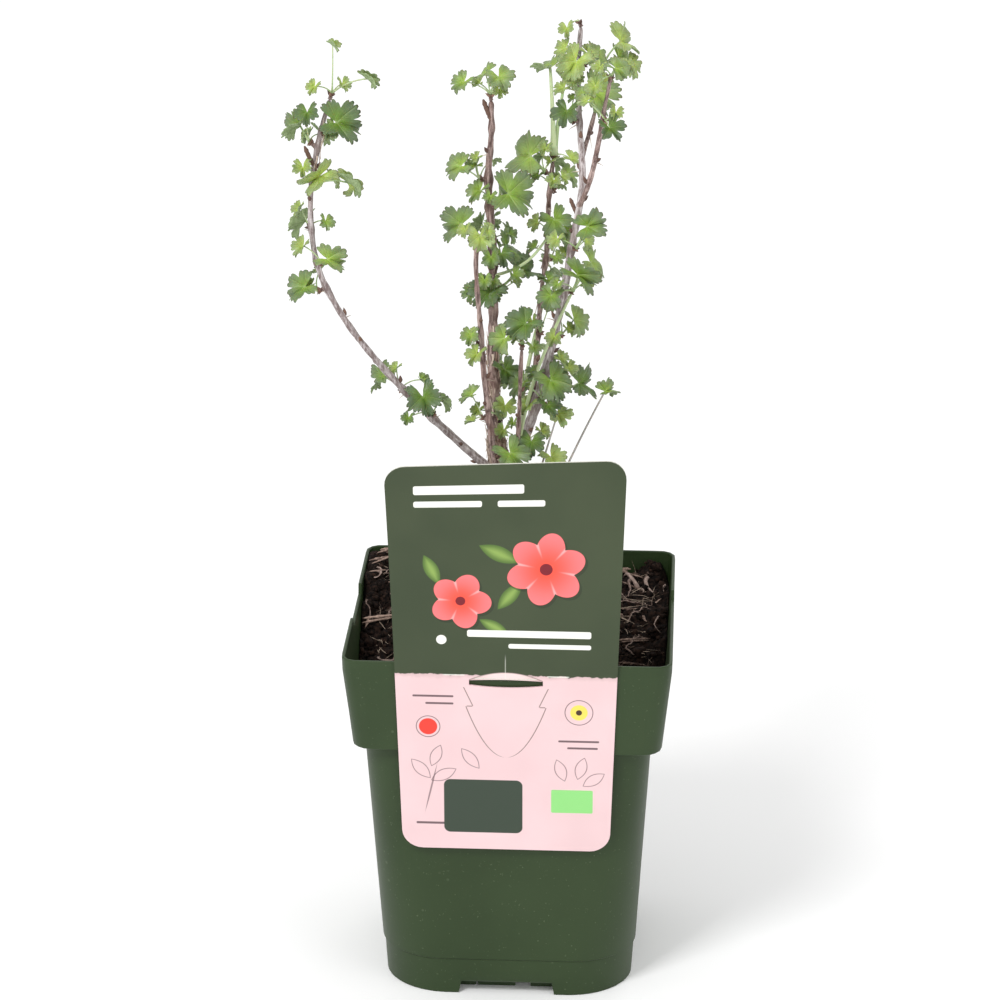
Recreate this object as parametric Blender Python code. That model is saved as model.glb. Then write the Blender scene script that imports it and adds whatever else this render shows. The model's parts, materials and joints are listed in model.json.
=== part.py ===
"""A young gooseberry bush in its square nursery pot, with the printed card that hangs on the rim.

The plant stands on the Z axis, the pot's flat underside is at Z = 0 and the card faces -Y.
Every length in a table is in millimetres and every angle in degrees; MM turns millimetres into metres.
"""

import math
import random
import zlib

import bmesh
import bpy
import numpy as np
from mathutils import Matrix, Vector
from mathutils.bvhtree import BVHTree

MM = 0.001
GAP = 0.3 * MM
WELD = 0.003 * MM
CUT_PAST = 4 * MM

# The pot is a square tub with a collar, drawn as rounded squares of half width, corner radius and height.
POT_HEIGHT = 150 * MM
POT_WALL = 1.3 * MM
POT_SOFT_EDGE = 0.5 * MM
RIM_HALF, RIM_CORNER = 65 * MM, 6 * MM
COLLAR_FOOT_HALF, COLLAR_FOOT_CORNER, COLLAR_FOOT = 61 * MM, 8 * MM, 111 * MM
BODY_TOP_HALF, BODY_TOP_CORNER = 56.8 * MM, 12 * MM
BASE_HALF, BASE_CORNER = 50 * MM, 26 * MM
STEP_HALF, STEP_HEIGHT, STEP_OUT = 50.9 * MM, 15.5 * MM, 0.7 * MM
FLOOR_UNDERSIDE, FLOOR_TOP, FLOOR_SPREAD = 5.5 * MM, 7 * MM, 0.4 * MM
NOTCH_WIDTH, NOTCH_DEPTH = 38 * MM, 4 * MM
DRAIN_WIDTH_TOP, DRAIN_WIDTH_FOOT, DRAIN_HEIGHT = 36.5 * MM, 38.6 * MM, 5.2 * MM
RIB_EDGES = ((-24, -12.6), (-12, 3.3), (9.4, 20))
RIB_REACH, RIB_SINK = 43 * MM, 0.7 * MM
DRAIN_HOLE_RADIUS, DRAIN_HOLE_SIDES, DRAIN_HOLE_PLACES = 4 * MM, 12, (-34, 34)

# The compost lies lower and darker at the front, behind the card.
SOIL_TOP = 138 * MM
SOIL_FRONT_DROP, SOIL_FRONT_START, SOIL_FRONT_END = 13 * MM, -30 * MM, -58 * MM
SOIL_RIM_DROP = 1.5 * MM
SOIL_LUMP, SOIL_WAVE_ACROSS, SOIL_WAVE_BACK, SOIL_WAVE_SLANT = 1.6 * MM, 7 * MM, 8.5 * MM, 4.6 * MM
SOIL_SLACK = 0.1 * MM
SOIL_RINGS = (1.0, 0.93, 0.82, 0.66, 0.5, 0.34)
SOIL_CORNER_SHARE, SOIL_SIDE_STEPS = 0.1, 3
SOIL_FLAT_RADIUS, SOIL_CALM_REACH = 10 * MM, 12 * MM

# The card leans with the collar's front and twists a little above the rim.
CARD_FOOT, CARD_LENGTH, CARD_THICK = 68 * MM, 169 * MM, 0.8 * MM
CARD_TOP_HALF, CARD_FOOT_HALF, CARD_CORNER = 46 * MM, 41 * MM, 8 * MM
CARD_TWIST, CARD_RIM_SHARE = 6.5 * MM, 0.49
CARD_GAP = 1.3 * GAP
CARD_COLUMNS, CARD_ARC_STEPS, CARD_ROW_SHARES = 6, 3, (0.2, 0.35, 0.5, 0.65, 0.8, 0.9)
CARD_LEAN = math.atan2(RIM_HALF - COLLAR_FOOT_HALF, POT_HEIGHT - COLLAR_FOOT)
SLOT_HALF, SLOT_FOOT, SLOT_TOP = 14.4 * MM, 140.4 * MM, 143.6 * MM
TONGUE_HALF, TONGUE_FOOT = 12 * MM, 130 * MM

# The stump of the bush, from the flat cut on the compost to the fork: height and radius.
TRUNK_PROFILE = ((0, 7.6), (3, 6.6), (9, 5.6), (25, 5.1), (50, 4.8), (68, 4.4), (78, 3.6), (87, 2.7))
TRUNK_LEANS = ((-5, 0), (-5, 1), (-7, 4))
TRUNK_SIDES, TRUNK_STEP = 12, 3 * MM

# Each limb: its carrier, where it leaves it, its length, its thickness at foot and tip, and its
# leans at even stations, each as degrees across (toward +X) and degrees back (toward +Y).
LIMBS = {
    "middle": ("trunk", 0.97, 133, 4.6, 2.0,
               ((-3, 16), (-2, 13), (0, 10), (-2, 5), (-5, 6), (4, 2), (-2, 0))),
    "left": ("trunk", 0.76, 190, 3.7, 2.1,
             ((-46, -23), (-41, -25), (-39, -22), (-35, -18), (-26, -12), (-5, -3), (9, 5), (17, 9))),
    "right": ("trunk", 0.74, 192, 4.2, 1.7,
              ((31, -5), (20, -10), (13, -8), (12, -8), (9, -4), (10, 4), (-6, 18), (-2, 15), (5, 9))),
    "front": ("trunk", 0.62, 118, 2.8, 1.9,
              ((-9, -20), (-6, -18), (-6, -14), (-3, -9), (-5, -5), (2, 0))),
    "short": ("trunk", 0.58, 82, 2.2, 1.4, ((19, -19), (5, -19), (2, -18), (3, -16))),
    "back": ("right", 0.16, 106, 2.3, 1.5,
             ((4, 46), (3, 41), (3, 27), (7, 15), (0, 7), (9, 8))),
    "outer": ("right", 0.64, 60, 2.1, 1.4, ((22, -30), (12, -25), (8, -17), (11, -11))),
    "inner": ("right", 0.74, 41, 1.9, 1.3, ((23, 58), (15, 50), (4, 27))),
}
LIMB_SIDES, LIMB_STEP = 8, 9 * MM
LIMB_SWELL, LIMB_SWELL_FADE = 0.25, 14

# Each spray of leaves: its limb, where it leaves it as a share of the limb's length, how many small
# leaves follow by the seeded rule, and its main leaves, each as heading, lift, reach from the limb's
# middle line and blade length.
SPRAYS = {
    "left_tip": ("left", 1.0, 2, ((-67, 79, 22, 5.5), (-12, 31, 17, 8))),
    "left_outer": ("left", 0.9, 1, ((143, 38, 11, 13), (-123, 68, 16, 6))),
    "left_inner": ("left", 0.93, 0, ((-53, 29, 13, 13),)),
    "left_arch": ("left", 0.83, 1, ((-63, 27, 9, 13), (27, -8, 14, 9))),
    "left_shade": ("left", 0.73, 1, ((111, 5, 9, 8),)),
    "left_elbow": ("left", 0.66, 1, ((-58, 20, 10, 11),)),
    "left_shelf": ("left", 0.6, 1, ((-152, 8, 9, 8),)),
    "left_low": ("left", 0.3, 1, ((143, 19, 12, 8),)),
    "left_foot": ("left", 0.21, 1, ((-132, 52, 14, 9),)),
    "middle_tip": ("middle", 1.0, 2, ((-169, 36, 13, 6), (117, 60, 11, 7), (-56, 62, 12, 7))),
    "middle_high": ("middle", 0.76, 1, ((-159, 29, 13, 8),)),
    "middle_broad": ("middle", 0.68, 2, ((-44, 34, 13, 13),)),
    "middle_left": ("middle", 0.58, 1, ((-152, 30, 15, 11),)),
    "middle_back": ("middle", 0.56, 1, ((116, 32, 12, 8),)),
    "middle_right": ("middle", 0.5, 1, ((51, 39, 10, 11),)),
    "middle_reach": ("middle", 0.43, 1, ((37, 20, 15, 10),)),
    "middle_hub": ("middle", 0.4, 1, ((-84, 36, 9, 9),)),
    "middle_low": ("middle", 0.15, 1, ((70, 4, 10, 12),)),
    "middle_foot": ("middle", 0.04, 1, ((-54, 46, 11, 6),)),
    "front_tip": ("front", 1.0, 2, ((-66, 51, 6, 7),)),
    "front_high": ("front", 0.6, 1, ((-139, 60, 12, 5),)),
    "front_spur": ("front", 0.35, 1, ((152, 51, 13, 6),)),
    "short_tip": ("short", 1.0, 1, ((-68, 70, 12, 12),)),
    "short_foot": ("short", 0.34, 1, ((-105, 35, 10, 11),)),
    "right_top": ("right", 1.0, 0, ((-152, 0, 6, 6),)),
    "right_crest": ("right", 0.92, 2, ((-96, 28, 8, 10), (57, 15, 10, 8))),
    "right_shoulder": ("right", 0.86, 1, ((-48, 20, 9, 11),)),
    "right_neck": ("right", 0.81, 1, ((-140, 40, 8, 7),)),
    "right_fan": ("right", 0.55, 1, ((-52, 49, 15, 11),)),
    "right_skirt": ("right", 0.45, 1, ((-54, 47, 14, 12), (38, 40, 17, 9))),
    "right_edge": ("right", 0.35, 1, ((32, 34, 11, 8),)),
    "right_bend": ("right", 0.27, 1, ((77, 26, 10, 7),)),
    "right_broad": ("right", 0.21, 2, ((-61, 45, 15, 14),)),
    "right_fork": ("right", 0.19, 2, ((13, 23, 19, 10),)),
    "right_foot": ("right", 0.11, 1, ((-78, 12, 10, 7),)),
    "inner_crown": ("inner", 1.0, 2, ((31, 51, 13, 13), (48, 14, 10, 8))),
    "outer_side": ("outer", 0.75, 1, ((-70, -20, 8, 7),)),
    "outer_tip": ("outer", 1.0, 1, ((-72, 44, 9, 8),)),
    "back_shoots": ("back", 1.0, 2, ((106, 80, 37, 8), (69, 70, 32, 7))),
    "back_crown": ("back", 0.95, 1, ((-151, 51, 10, 13),)),
    "back_high": ("back", 0.88, 2, ((60, 32, 10, 7),)),
    "back_knuckle": ("back", 0.72, 1, ((-71, 47, 12, 8),)),
    "back_mid": ("back", 0.62, 1, ((52, 44, 12, 7),)),
    "back_dark": ("back", 0.47, 1, ((70, 45, 15, 9),)),
    "back_low": ("back", 0.34, 0, ((-55, 60, 19, 6),)),
    "base_long": ("trunk", 0.3, 0, ((8, 63, 84, 8),)),
    "base_pale": ("trunk", 0.44, 1, ((-18, 64, 43, 7), (-21, 69, 61, 7))),
}
SPUR_LENGTH, SPUR_RADIUS, SPUR_SIDES, SPUR_SINK = 2.4 * MM, 0.8 * MM, 3, 0.6 * MM
SPUR_TAPER, SPUR_FOOT_SHARE, SPUR_BEND_AT_TIP, SPUR_SQUARENESS = 0.8, 0.5, 0.5, 0.7
STALK_RADIUS, STALK_SIDES, STALK_STEPS = 0.42 * MM, 3, 3
STALK_FOOT_SWELL, STALK_THINNING = 1.25, 0.06
STALK_BOW, STALK_RISE, STALK_SINK, BLADE_SINK = 0.45, 0.12, 0.5 * MM, 0.8 * MM
LIGHT = Vector((0.05, -0.6, 0.8))
SUNWARD = -0.6
DROOP, DROOP_BY_SIZE, DROOP_SPREAD, DROOP_KEPT_UPRIGHT = 28, 2.6, 12, 0.2
UPRIGHT_FROM, UPRIGHT_SPAN = 50, 40
TILT_RANGE = (0.6, 1.1)

# The seeded rule for a spray's small leaves: turn from the first leaf, lift, reach and share of its size.
SMALL_TURN, SMALL_LIFT, SMALL_REACH, SMALL_SHARE, SMALLEST = (70, 130), (15, 60), (5, 8.5), (0.4, 0.62), 4.0
# A leaf that finds no room swings further each time, then also tips, and its stalk grows a little.
TRIES, SWING_FIRST, SWING_MORE, TIP_AFTER, TIP_SPREAD, STRETCH = 14, 4, 5, 4, 15, 0.03
ROOM = 1.5 * GAP

# A leaf is drawn round the point where its stalk joins it, as angle and share of the blade length.
BROAD_HALF_OUTLINE = ((12, 0.98), (31, 0.74), (50, 0.86), (66, 0.8), (88, 0.56), (114, 0.6), (142, 0.48))
SMALL_HALF_OUTLINE = ((14, 0.98), (38, 0.74), (66, 0.84), (102, 0.58), (142, 0.48))
SMALL_LEAF = 7 * MM
LEAF_MIDDLE = 0.33
LEAF_THICK = 0.5 * MM
LEAF_DISH, LEAF_ARCH = 0.10, 0.12

# Colour, roughness and metallic value of each material.
FINISHES = {
    "pot plastic": ((0.046, 0.077, 0.037), 0.45, 0.0),
    "compost": ((0.020, 0.012, 0.009), 0.95, 0.0),
    "card": ((0.078, 0.095, 0.058), 0.4, 0.0),
    "old bark": ((0.17, 0.105, 0.085), 0.85, 0.0),
    "young bark": ((0.24, 0.19, 0.17), 0.75, 0.0),
    "leaf": ((0.16, 0.26, 0.085), 0.55, 0.0),
}


def clear_scene():
    for old in list(bpy.data.objects):
        bpy.data.objects.remove(old, do_unlink=True)


def finish_named(name, title):
    """A new Principled material for one node, from a named finish."""
    colour, roughness, metallic = FINISHES[title]
    material = bpy.data.materials.new(name + " " + title)
    material.use_nodes = True
    shader = material.node_tree.nodes["Principled BSDF"]
    shader.inputs["Base Color"].default_value = (*colour, 1.0)
    shader.inputs["Roughness"].default_value = roughness
    shader.inputs["Metallic"].default_value = metallic
    return material


def new_object(name, points, faces):
    """An object with the mesh of these points and faces, its normals turned outwards."""
    mesh = bpy.data.meshes.new(name)
    mesh.from_pydata([tuple(point) for point in points], [], [tuple(face) for face in faces])
    shape = bmesh.new()
    shape.from_mesh(mesh)
    bmesh.ops.recalc_face_normals(shape, faces=shape.faces)
    shape.to_mesh(mesh)
    shape.free()
    made = bpy.data.objects.new(name, mesh)
    bpy.context.scene.collection.objects.link(made)
    return made


def is_sound(mesh):
    """Whether every edge joins two faces once points that nearly meet are made one."""
    shape = bmesh.new()
    shape.from_mesh(mesh)
    bmesh.ops.remove_doubles(shape, verts=shape.verts, dist=WELD)
    closed = all(len(edge.link_faces) == 2 for edge in shape.edges)
    shape.free()
    return closed


def boolean(target, operation, others):
    """Applies one Boolean of the target with a collection of other objects, then removes them."""
    group = bpy.data.collections.new(target.name + " group")
    bpy.context.scene.collection.children.link(group)
    for other in others:
        bpy.context.scene.collection.objects.unlink(other)
        group.objects.link(other)
    modifier = target.modifiers.new(operation.lower(), "BOOLEAN")
    modifier.operation = operation
    modifier.operand_type = "COLLECTION"
    modifier.collection = group
    for solver in ("EXACT", "MANIFOLD"):
        modifier.solver = solver
        graph = bpy.context.evaluated_depsgraph_get()
        mesh = bpy.data.meshes.new_from_object(target.evaluated_get(graph))
        if is_sound(mesh):
            break
    target.modifiers.clear()
    target.data = mesh
    for other in others:
        bpy.data.objects.remove(other, do_unlink=True)
    bpy.data.collections.remove(group)


def keep_largest(target):
    """Keeps the biggest connected shell, which drops loose scraps and fills sealed hollows."""
    shape = bmesh.new()
    shape.from_mesh(target.data)
    unseen = set(shape.faces)
    islands = []
    while unseen:
        island, border = [], [unseen.pop()]
        while border:
            face = border.pop()
            island.append(face)
            for edge in face.edges:
                for other in edge.link_faces if len(edge.link_faces) == 2 else ():
                    if other in unseen:
                        unseen.remove(other)
                        border.append(other)
        islands.append(island)
    islands.sort(key=lambda island: sum(face.calc_area() for face in island), reverse=True)
    for island in islands[1:]:
        bmesh.ops.delete(shape, geom=island, context="FACES")
    bmesh.ops.remove_doubles(shape, verts=shape.verts, dist=WELD)
    bmesh.ops.triangulate(shape, faces=shape.faces)
    shape.to_mesh(target.data)
    shape.free()


def dress(target, title, smooth_angle=None):
    """Gives a finished node its material, and smooth shading where it is round."""
    target.data.materials.clear()
    target.data.materials.append(finish_named(target.name, title))
    if smooth_angle is not None:
        target.data.shade_smooth()
        target.data.set_sharp_from_angle(angle=math.radians(smooth_angle))


def loft(rings):
    """Points and faces of a closed skin over rings of equal count, with flat ends."""
    count = len(rings[0])
    points = [point for ring in rings for point in ring]
    faces = [tuple(range(count)), tuple(range(len(points) - count, len(points)))]
    for row in range(len(rings) - 1):
        for column in range(count):
            after = (column + 1) % count
            low, high = row * count, (row + 1) * count
            faces.append((low + column, low + after, high + after, high + column))
    return points, faces


def rounded_square(half, corner, height, arc_steps=4, side_steps=1):
    """Points round a square with rounded corners, with side_steps spans on each straight side."""
    straight = half - corner
    angles = [math.radians(90 * step / arc_steps) for step in range(arc_steps + 1)]
    side = [(straight + corner * math.cos(angle), straight + corner * math.sin(angle)) for angle in angles]
    side += [(straight * (1 - 2 * step / side_steps), half) for step in range(1, side_steps)]
    ring = []
    for quarter in range(4):
        turn = Matrix.Rotation(math.radians(90 * quarter), 3, "Z")
        ring += [turn @ Vector((across, back, height)) for across, back in side]
    return ring


def block(name, low, high):
    """A plain box between two corners."""
    (x0, y0, z0), (x1, y1, z1) = low, high
    rings = [[(x0, y0, z), (x1, y0, z), (x1, y1, z), (x0, y1, z)] for z in (z0, z1)]
    return new_object(name, *loft(rings))


def collar_inner_half(height):
    """Half width of the collar's inner face at a height."""
    share = (height - COLLAR_FOOT) / (POT_HEIGHT - COLLAR_FOOT)
    return COLLAR_FOOT_HALF + share * (RIM_HALF - COLLAR_FOOT_HALF) - POT_WALL


def build_pot():
    """The tub: one skin from its raised underside, up outside, over the rim and down inside."""
    wall, soft = POT_WALL, POT_SOFT_EDGE
    ledge_top = COLLAR_FOOT + wall
    sections = (
        (BASE_HALF - wall, BASE_CORNER - wall, FLOOR_UNDERSIDE),
        (BASE_HALF - wall, BASE_CORNER - wall, 0),
        (BASE_HALF, BASE_CORNER, 0),
        (STEP_HALF, BASE_CORNER, STEP_HEIGHT),
        (STEP_HALF + STEP_OUT, BASE_CORNER, STEP_HEIGHT + STEP_OUT),
        (BODY_TOP_HALF, BODY_TOP_CORNER, COLLAR_FOOT),
        (COLLAR_FOOT_HALF - soft, COLLAR_FOOT_CORNER, COLLAR_FOOT),
        (COLLAR_FOOT_HALF, COLLAR_FOOT_CORNER, COLLAR_FOOT + soft),
        (RIM_HALF, RIM_CORNER, POT_HEIGHT - soft),
        (RIM_HALF - soft / 2, RIM_CORNER, POT_HEIGHT),
        (RIM_HALF - wall, RIM_CORNER - wall, POT_HEIGHT),
        (collar_inner_half(ledge_top), COLLAR_FOOT_CORNER - wall, ledge_top),
        (BODY_TOP_HALF - wall, BODY_TOP_CORNER - wall, ledge_top),
        (BASE_HALF - wall + FLOOR_SPREAD, BASE_CORNER - wall, FLOOR_TOP),
    )
    pot = new_object("pot", *loft([rounded_square(*section) for section in sections]))
    ribs = []
    for number, (left, right) in enumerate(RIB_EDGES):
        low = (left * MM, -RIB_REACH, 0)
        high = (right * MM, RIB_REACH, FLOOR_UNDERSIDE + RIB_SINK)
        ribs.append(block(f"rib {number}", low, high))
    boolean(pot, "UNION", ribs)
    cutters = []
    for side in range(4):
        turn = math.radians(90 * side)
        low = (-NOTCH_WIDTH / 2, RIM_HALF - CUT_PAST, POT_HEIGHT - NOTCH_DEPTH)
        high = (NOTCH_WIDTH / 2, RIM_HALF + CUT_PAST, POT_HEIGHT + CUT_PAST)
        notch = block(f"notch {side}", low, high)
        notch.data.transform(Matrix.Rotation(turn, 4, "Z"))
        cutters.append(notch)
    for end in (-1, 1):
        near, far = end * (BASE_HALF - CUT_PAST), end * (BASE_HALF + CUT_PAST)
        rings = []
        for height, width in ((-MM, DRAIN_WIDTH_FOOT), (DRAIN_HEIGHT, DRAIN_WIDTH_TOP)):
            corners = ((-width, near), (width, near), (width, far), (-width, far))
            rings.append([(across / 2, back, height) for across, back in corners])
        cutters.append(new_object(f"drain {end}", *loft(rings)))
    for x in DRAIN_HOLE_PLACES:
        for y in DRAIN_HOLE_PLACES:
            ends = [Vector((x * MM, y * MM, height)) for height in (FLOOR_UNDERSIDE - MM, FLOOR_TOP + MM)]
            radii = [DRAIN_HOLE_RADIUS] * 2
            cutters.append(new_object(f"drain hole {x} {y}", *loft(tube(ends, radii, DRAIN_HOLE_SIDES))))
    boolean(pot, "DIFFERENCE", cutters)
    keep_largest(pot)
    dress(pot, "pot plastic", 30)


def soil_height(x, y):
    """The compost's height: level at the stem, lumpy, lower at the rim and much lower at the front."""
    edge = max(abs(x), abs(y)) / RIM_HALF
    front = (y - SOIL_FRONT_START) / (SOIL_FRONT_END - SOIL_FRONT_START)
    front = min(max(front, 0.0), 1.0)
    lump = math.sin(x / SOIL_WAVE_ACROSS + 1.3) * math.cos(y / SOIL_WAVE_BACK)
    lump += 0.5 * math.sin((x + y) / SOIL_WAVE_SLANT)
    calm = min(max((math.hypot(x, y) - SOIL_FLAT_RADIUS) / SOIL_CALM_REACH, 0.0), 1.0)
    drop = SOIL_FRONT_DROP * front * front * (3 - 2 * front) + SOIL_RIM_DROP * edge ** 4
    return SOIL_TOP + calm * SOIL_LUMP * lump - drop


def build_soil():
    """The potful of compost, 0.3 mm clear of the pot, with a level spot for the stem to stand on."""
    inset = POT_WALL + GAP
    ledge = COLLAR_FOOT + inset
    sections = (
        (BASE_HALF - POT_WALL + SOIL_SLACK, BASE_CORNER - inset, FLOOR_TOP + GAP),
        (BODY_TOP_HALF - inset, BODY_TOP_CORNER - inset, ledge),
        (collar_inner_half(ledge) - GAP, COLLAR_FOOT_CORNER - inset, ledge),
    )
    rings = [rounded_square(*section, side_steps=SOIL_SIDE_STEPS) for section in sections]
    for share in SOIL_RINGS:
        ring = []
        for point in rounded_square(1.0, SOIL_CORNER_SHARE, 0.0, side_steps=SOIL_SIDE_STEPS):
            height = SOIL_TOP
            for _ in range(3):
                reach = (collar_inner_half(height) - GAP - SOIL_SLACK) * share
                height = soil_height(point.x * reach, point.y * reach)
            ring.append(Vector((point.x * reach, point.y * reach, height)))
        rings.append(ring)
    middle = []
    for point in rings[-1]:
        flat = Vector((point.x, point.y, 0)).normalized() * SOIL_FLAT_RADIUS
        middle.append(Vector((flat.x, flat.y, SOIL_TOP)))
    rings.append(middle)
    soil = new_object("soil", *loft(rings))
    keep_largest(soil)
    dress(soil, "compost", 50)


def card_point(across, up, depth):
    """A point of the card: across it, up it from its foot, and out of its back face."""
    above = max(up / CARD_LENGTH - CARD_RIM_SHARE, 0.0) / (1 - CARD_RIM_SHARE)
    twist = CARD_TWIST * above * above * across / CARD_TOP_HALF
    height = CARD_FOOT + up * math.cos(CARD_LEAN)
    out = COLLAR_FOOT_HALF + (height - COLLAR_FOOT) * math.tan(CARD_LEAN) + CARD_GAP
    return Vector((across, twist - out - depth * math.cos(CARD_LEAN), height - depth * math.sin(CARD_LEAN)))


def card_rows():
    """Heights up the card with the half width there, closer together at its rounded corners."""
    corner = []
    for step in range(CARD_ARC_STEPS + 1):
        angle = math.radians(90 * step / CARD_ARC_STEPS)
        corner.append((CARD_CORNER * (1 - math.cos(angle)), CARD_CORNER * (1 - math.sin(angle))))
    rows = corner + [(CARD_LENGTH * share, 0.0) for share in CARD_ROW_SHARES]
    rows += [(CARD_LENGTH - height, inset) for height, inset in reversed(corner)]
    spread = (CARD_TOP_HALF - CARD_FOOT_HALF) / CARD_LENGTH
    return [(height, CARD_FOOT_HALF + spread * height - inset) for height, inset in rows]


def build_card():
    """The printed card: a thin plate with a slot, and a tongue over the notch and down inside the pot."""
    shares = [2 * k / CARD_COLUMNS - 1 for k in range(CARD_COLUMNS + 1)]
    rings = []
    for height, half in card_rows():
        front = [card_point(half * share, height, CARD_THICK) for share in shares]
        back = [card_point(-half * share, height, 0) for share in shares]
        rings.append(front + back)
    card = new_object("card", *loft(rings))
    notch_floor = POT_HEIGHT - NOTCH_DEPTH + GAP
    inner = collar_inner_half(notch_floor) - CARD_GAP
    inner_low = collar_inner_half(TONGUE_FOOT) - CARD_GAP
    out = RIM_HALF + GAP
    profile = (
        (-out, notch_floor), (-inner, notch_floor), (-inner_low, TONGUE_FOOT),
        (-inner_low + CARD_THICK, TONGUE_FOOT), (-inner + CARD_THICK, notch_floor + CARD_THICK),
        (-out, notch_floor + CARD_THICK),
    )
    rings = [[(x, y, z) for y, z in profile] for x in (-TONGUE_HALF, TONGUE_HALF)]
    boolean(card, "UNION", [new_object("tongue", *loft(rings))])
    low = (-SLOT_HALF, -RIM_HALF - CUT_PAST, SLOT_FOOT)
    high = (SLOT_HALF, -RIM_HALF + CUT_PAST, SLOT_TOP)
    boolean(card, "DIFFERENCE", [block("slot", low, high)])
    keep_largest(card)
    dress(card, "card")


def smooth_between(values, share):
    """A value read between even stations, with a soft start and stop at each."""
    place = min(max(share, 0.0), 1.0) * (len(values) - 1)
    first = min(int(place), len(values) - 2)
    part = place - first
    part = part * part * (3 - 2 * part) * 0.5 + part * 0.5
    return values[first] + (values[first + 1] - values[first]) * part


def grow_path(start, length, leans, step):
    """Points of a limb: each step goes up, across and back as its leans there say."""
    count = max(4, round(length / step))
    points = [Vector(start)]
    for number in range(count):
        share = (number + 0.5) / count
        across = math.tan(math.radians(smooth_between([lean[0] for lean in leans], share)))
        back = math.tan(math.radians(smooth_between([lean[1] for lean in leans], share)))
        points.append(points[-1] + Vector((across, back, 1)).normalized() * (length / count))
    return points


def along(path, share):
    """The point and direction at a share of a path's length."""
    place = min(max(share, 0.0), 1.0) * (len(path) - 1)
    first = min(int(place), len(path) - 2)
    return path[first].lerp(path[first + 1], place - first), (path[first + 1] - path[first]).normalized()


def tube(path, radii, sides, grow=0.0, level=False):
    """Rings of a tapering round limb along a path, with its ends pushed out by grow."""
    path = [Vector(point) for point in path]
    path[0] = path[0] - (path[1] - path[0]).normalized() * grow
    path[-1] = path[-1] + (path[-1] - path[-2]).normalized() * grow
    side = Vector((1, 0, 0))
    rings = []
    for number, point in enumerate(path):
        before, after = path[max(number - 1, 0)], path[min(number + 1, len(path) - 1)]
        forward = Vector((0, 0, 1)) if level else (after - before).normalized()
        side = side - forward * side.dot(forward)
        if side.length < 0.1:
            side = forward.orthogonal()
        side.normalize()
        up = forward.cross(side)
        ring = []
        for k in range(sides):
            angle = math.tau * k / sides
            ring.append(point + (radii[number] + grow) * (math.cos(angle) * side + math.sin(angle) * up))
        rings.append(ring)
    return rings


def trunk_shape(grow=0.0):
    """Rings of the stump, whose foot is a flat cut."""
    foot = Vector((0, 0, SOIL_TOP + GAP))
    length = TRUNK_PROFILE[-1][0] * MM
    path = grow_path(foot, length, TRUNK_LEANS, TRUNK_STEP)
    points, radii = [], []
    for height, radius in TRUNK_PROFILE:
        points.append(along(path, height * MM / length)[0])
        radii.append(radius * MM)
    return tube(points, radii, TRUNK_SIDES, grow, level=True), path


def limb_radii(count, foot, tip):
    """Radii of a limb, a little swollen at its foot and thinning steadily to its tip."""
    radii = []
    for number in range(count):
        share = number / (count - 1)
        swell = LIMB_SWELL * math.exp(-share * LIMB_SWELL_FADE)
        radii.append(MM * 0.5 * (foot + (tip - foot) * share + foot * swell))
    return radii


def build_limbs():
    """The stump and the limbs, each cut clear of those before it. Returns their paths and shapes."""
    rings, path = trunk_shape()
    trunk = new_object("trunk", *loft(rings))
    dress(trunk, "old bark", 50)
    paths, shapes = {"trunk": path}, {"trunk": lambda grow: trunk_shape(grow)[0]}
    for name, (carrier, share, length, foot, tip, leans) in LIMBS.items():
        start, _ = along(paths[carrier], share)
        path = grow_path(start, length * MM, leans, LIMB_STEP)
        radii = limb_radii(len(path), foot, tip)
        limb = new_object(name, *loft(tube(path, radii, LIMB_SIDES)))
        cutters = [new_object(f"room for {other}", *loft(shape(GAP))) for other, shape in shapes.items()]
        boolean(limb, "DIFFERENCE", cutters)
        keep_largest(limb)
        dress(limb, "young bark", 50)
        paths[name] = path
        shapes[name] = lambda grow, path=path, radii=radii: tube(path, radii, LIMB_SIDES, grow)
    return paths, shapes


def leaf_shape(joint, along_blade, upper, blade, grow=0.0):
    """Points and faces of a lobed leaf: a thin lens with a sharp margin, its edges bent down a little."""
    across = upper.cross(along_blade)
    half = list(SMALL_HALF_OUTLINE if blade < SMALL_LEAF else BROAD_HALF_OUTLINE)
    outline = half + [(-angle, share) for angle, share in reversed(half)]
    points = []
    for angle, share in outline:
        turn = math.radians(angle)
        reach = blade * share + grow
        rise = blade * share * (LEAF_DISH * abs(math.sin(turn)) - LEAF_ARCH * share)
        sideways = math.cos(turn) * along_blade + math.sin(turn) * across
        points.append(joint + reach * sideways + rise * upper)
    count = len(points)
    thick = LEAF_THICK / 2 + grow
    middle = joint + LEAF_MIDDLE * blade * along_blade
    points += [middle + upper * thick, middle - upper * thick]
    faces = []
    for k in range(count):
        after = (k + 1) % count
        faces += [(k, after, count), (after, k, count + 1)]
    return points, faces


def stalk_path(start, heading, joint, along_blade):
    """Points of a leaf stalk: a soft bow from the spur to the blade, its end sunk in the blade."""
    span = (joint - start).length
    bow = start + (heading * STALK_BOW + Vector((0, 0, STALK_RISE))) * span
    points = []
    for k in range(STALK_STEPS + 1):
        t = k / STALK_STEPS
        points.append((1 - t) ** 2 * start + 2 * t * (1 - t) * bow + t * t * joint)
    points[0] = points[0] - (points[1] - points[0]).normalized() * STALK_SINK
    return points + [joint + along_blade * BLADE_SINK]


def direction(heading, lift):
    """The way a leaf points: heading turns it from +X toward +Y, and lift raises it."""
    turn, rise = math.radians(heading), math.radians(lift)
    return Vector((math.cos(rise) * math.cos(turn), math.cos(rise) * math.sin(turn), math.sin(rise)))


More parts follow.
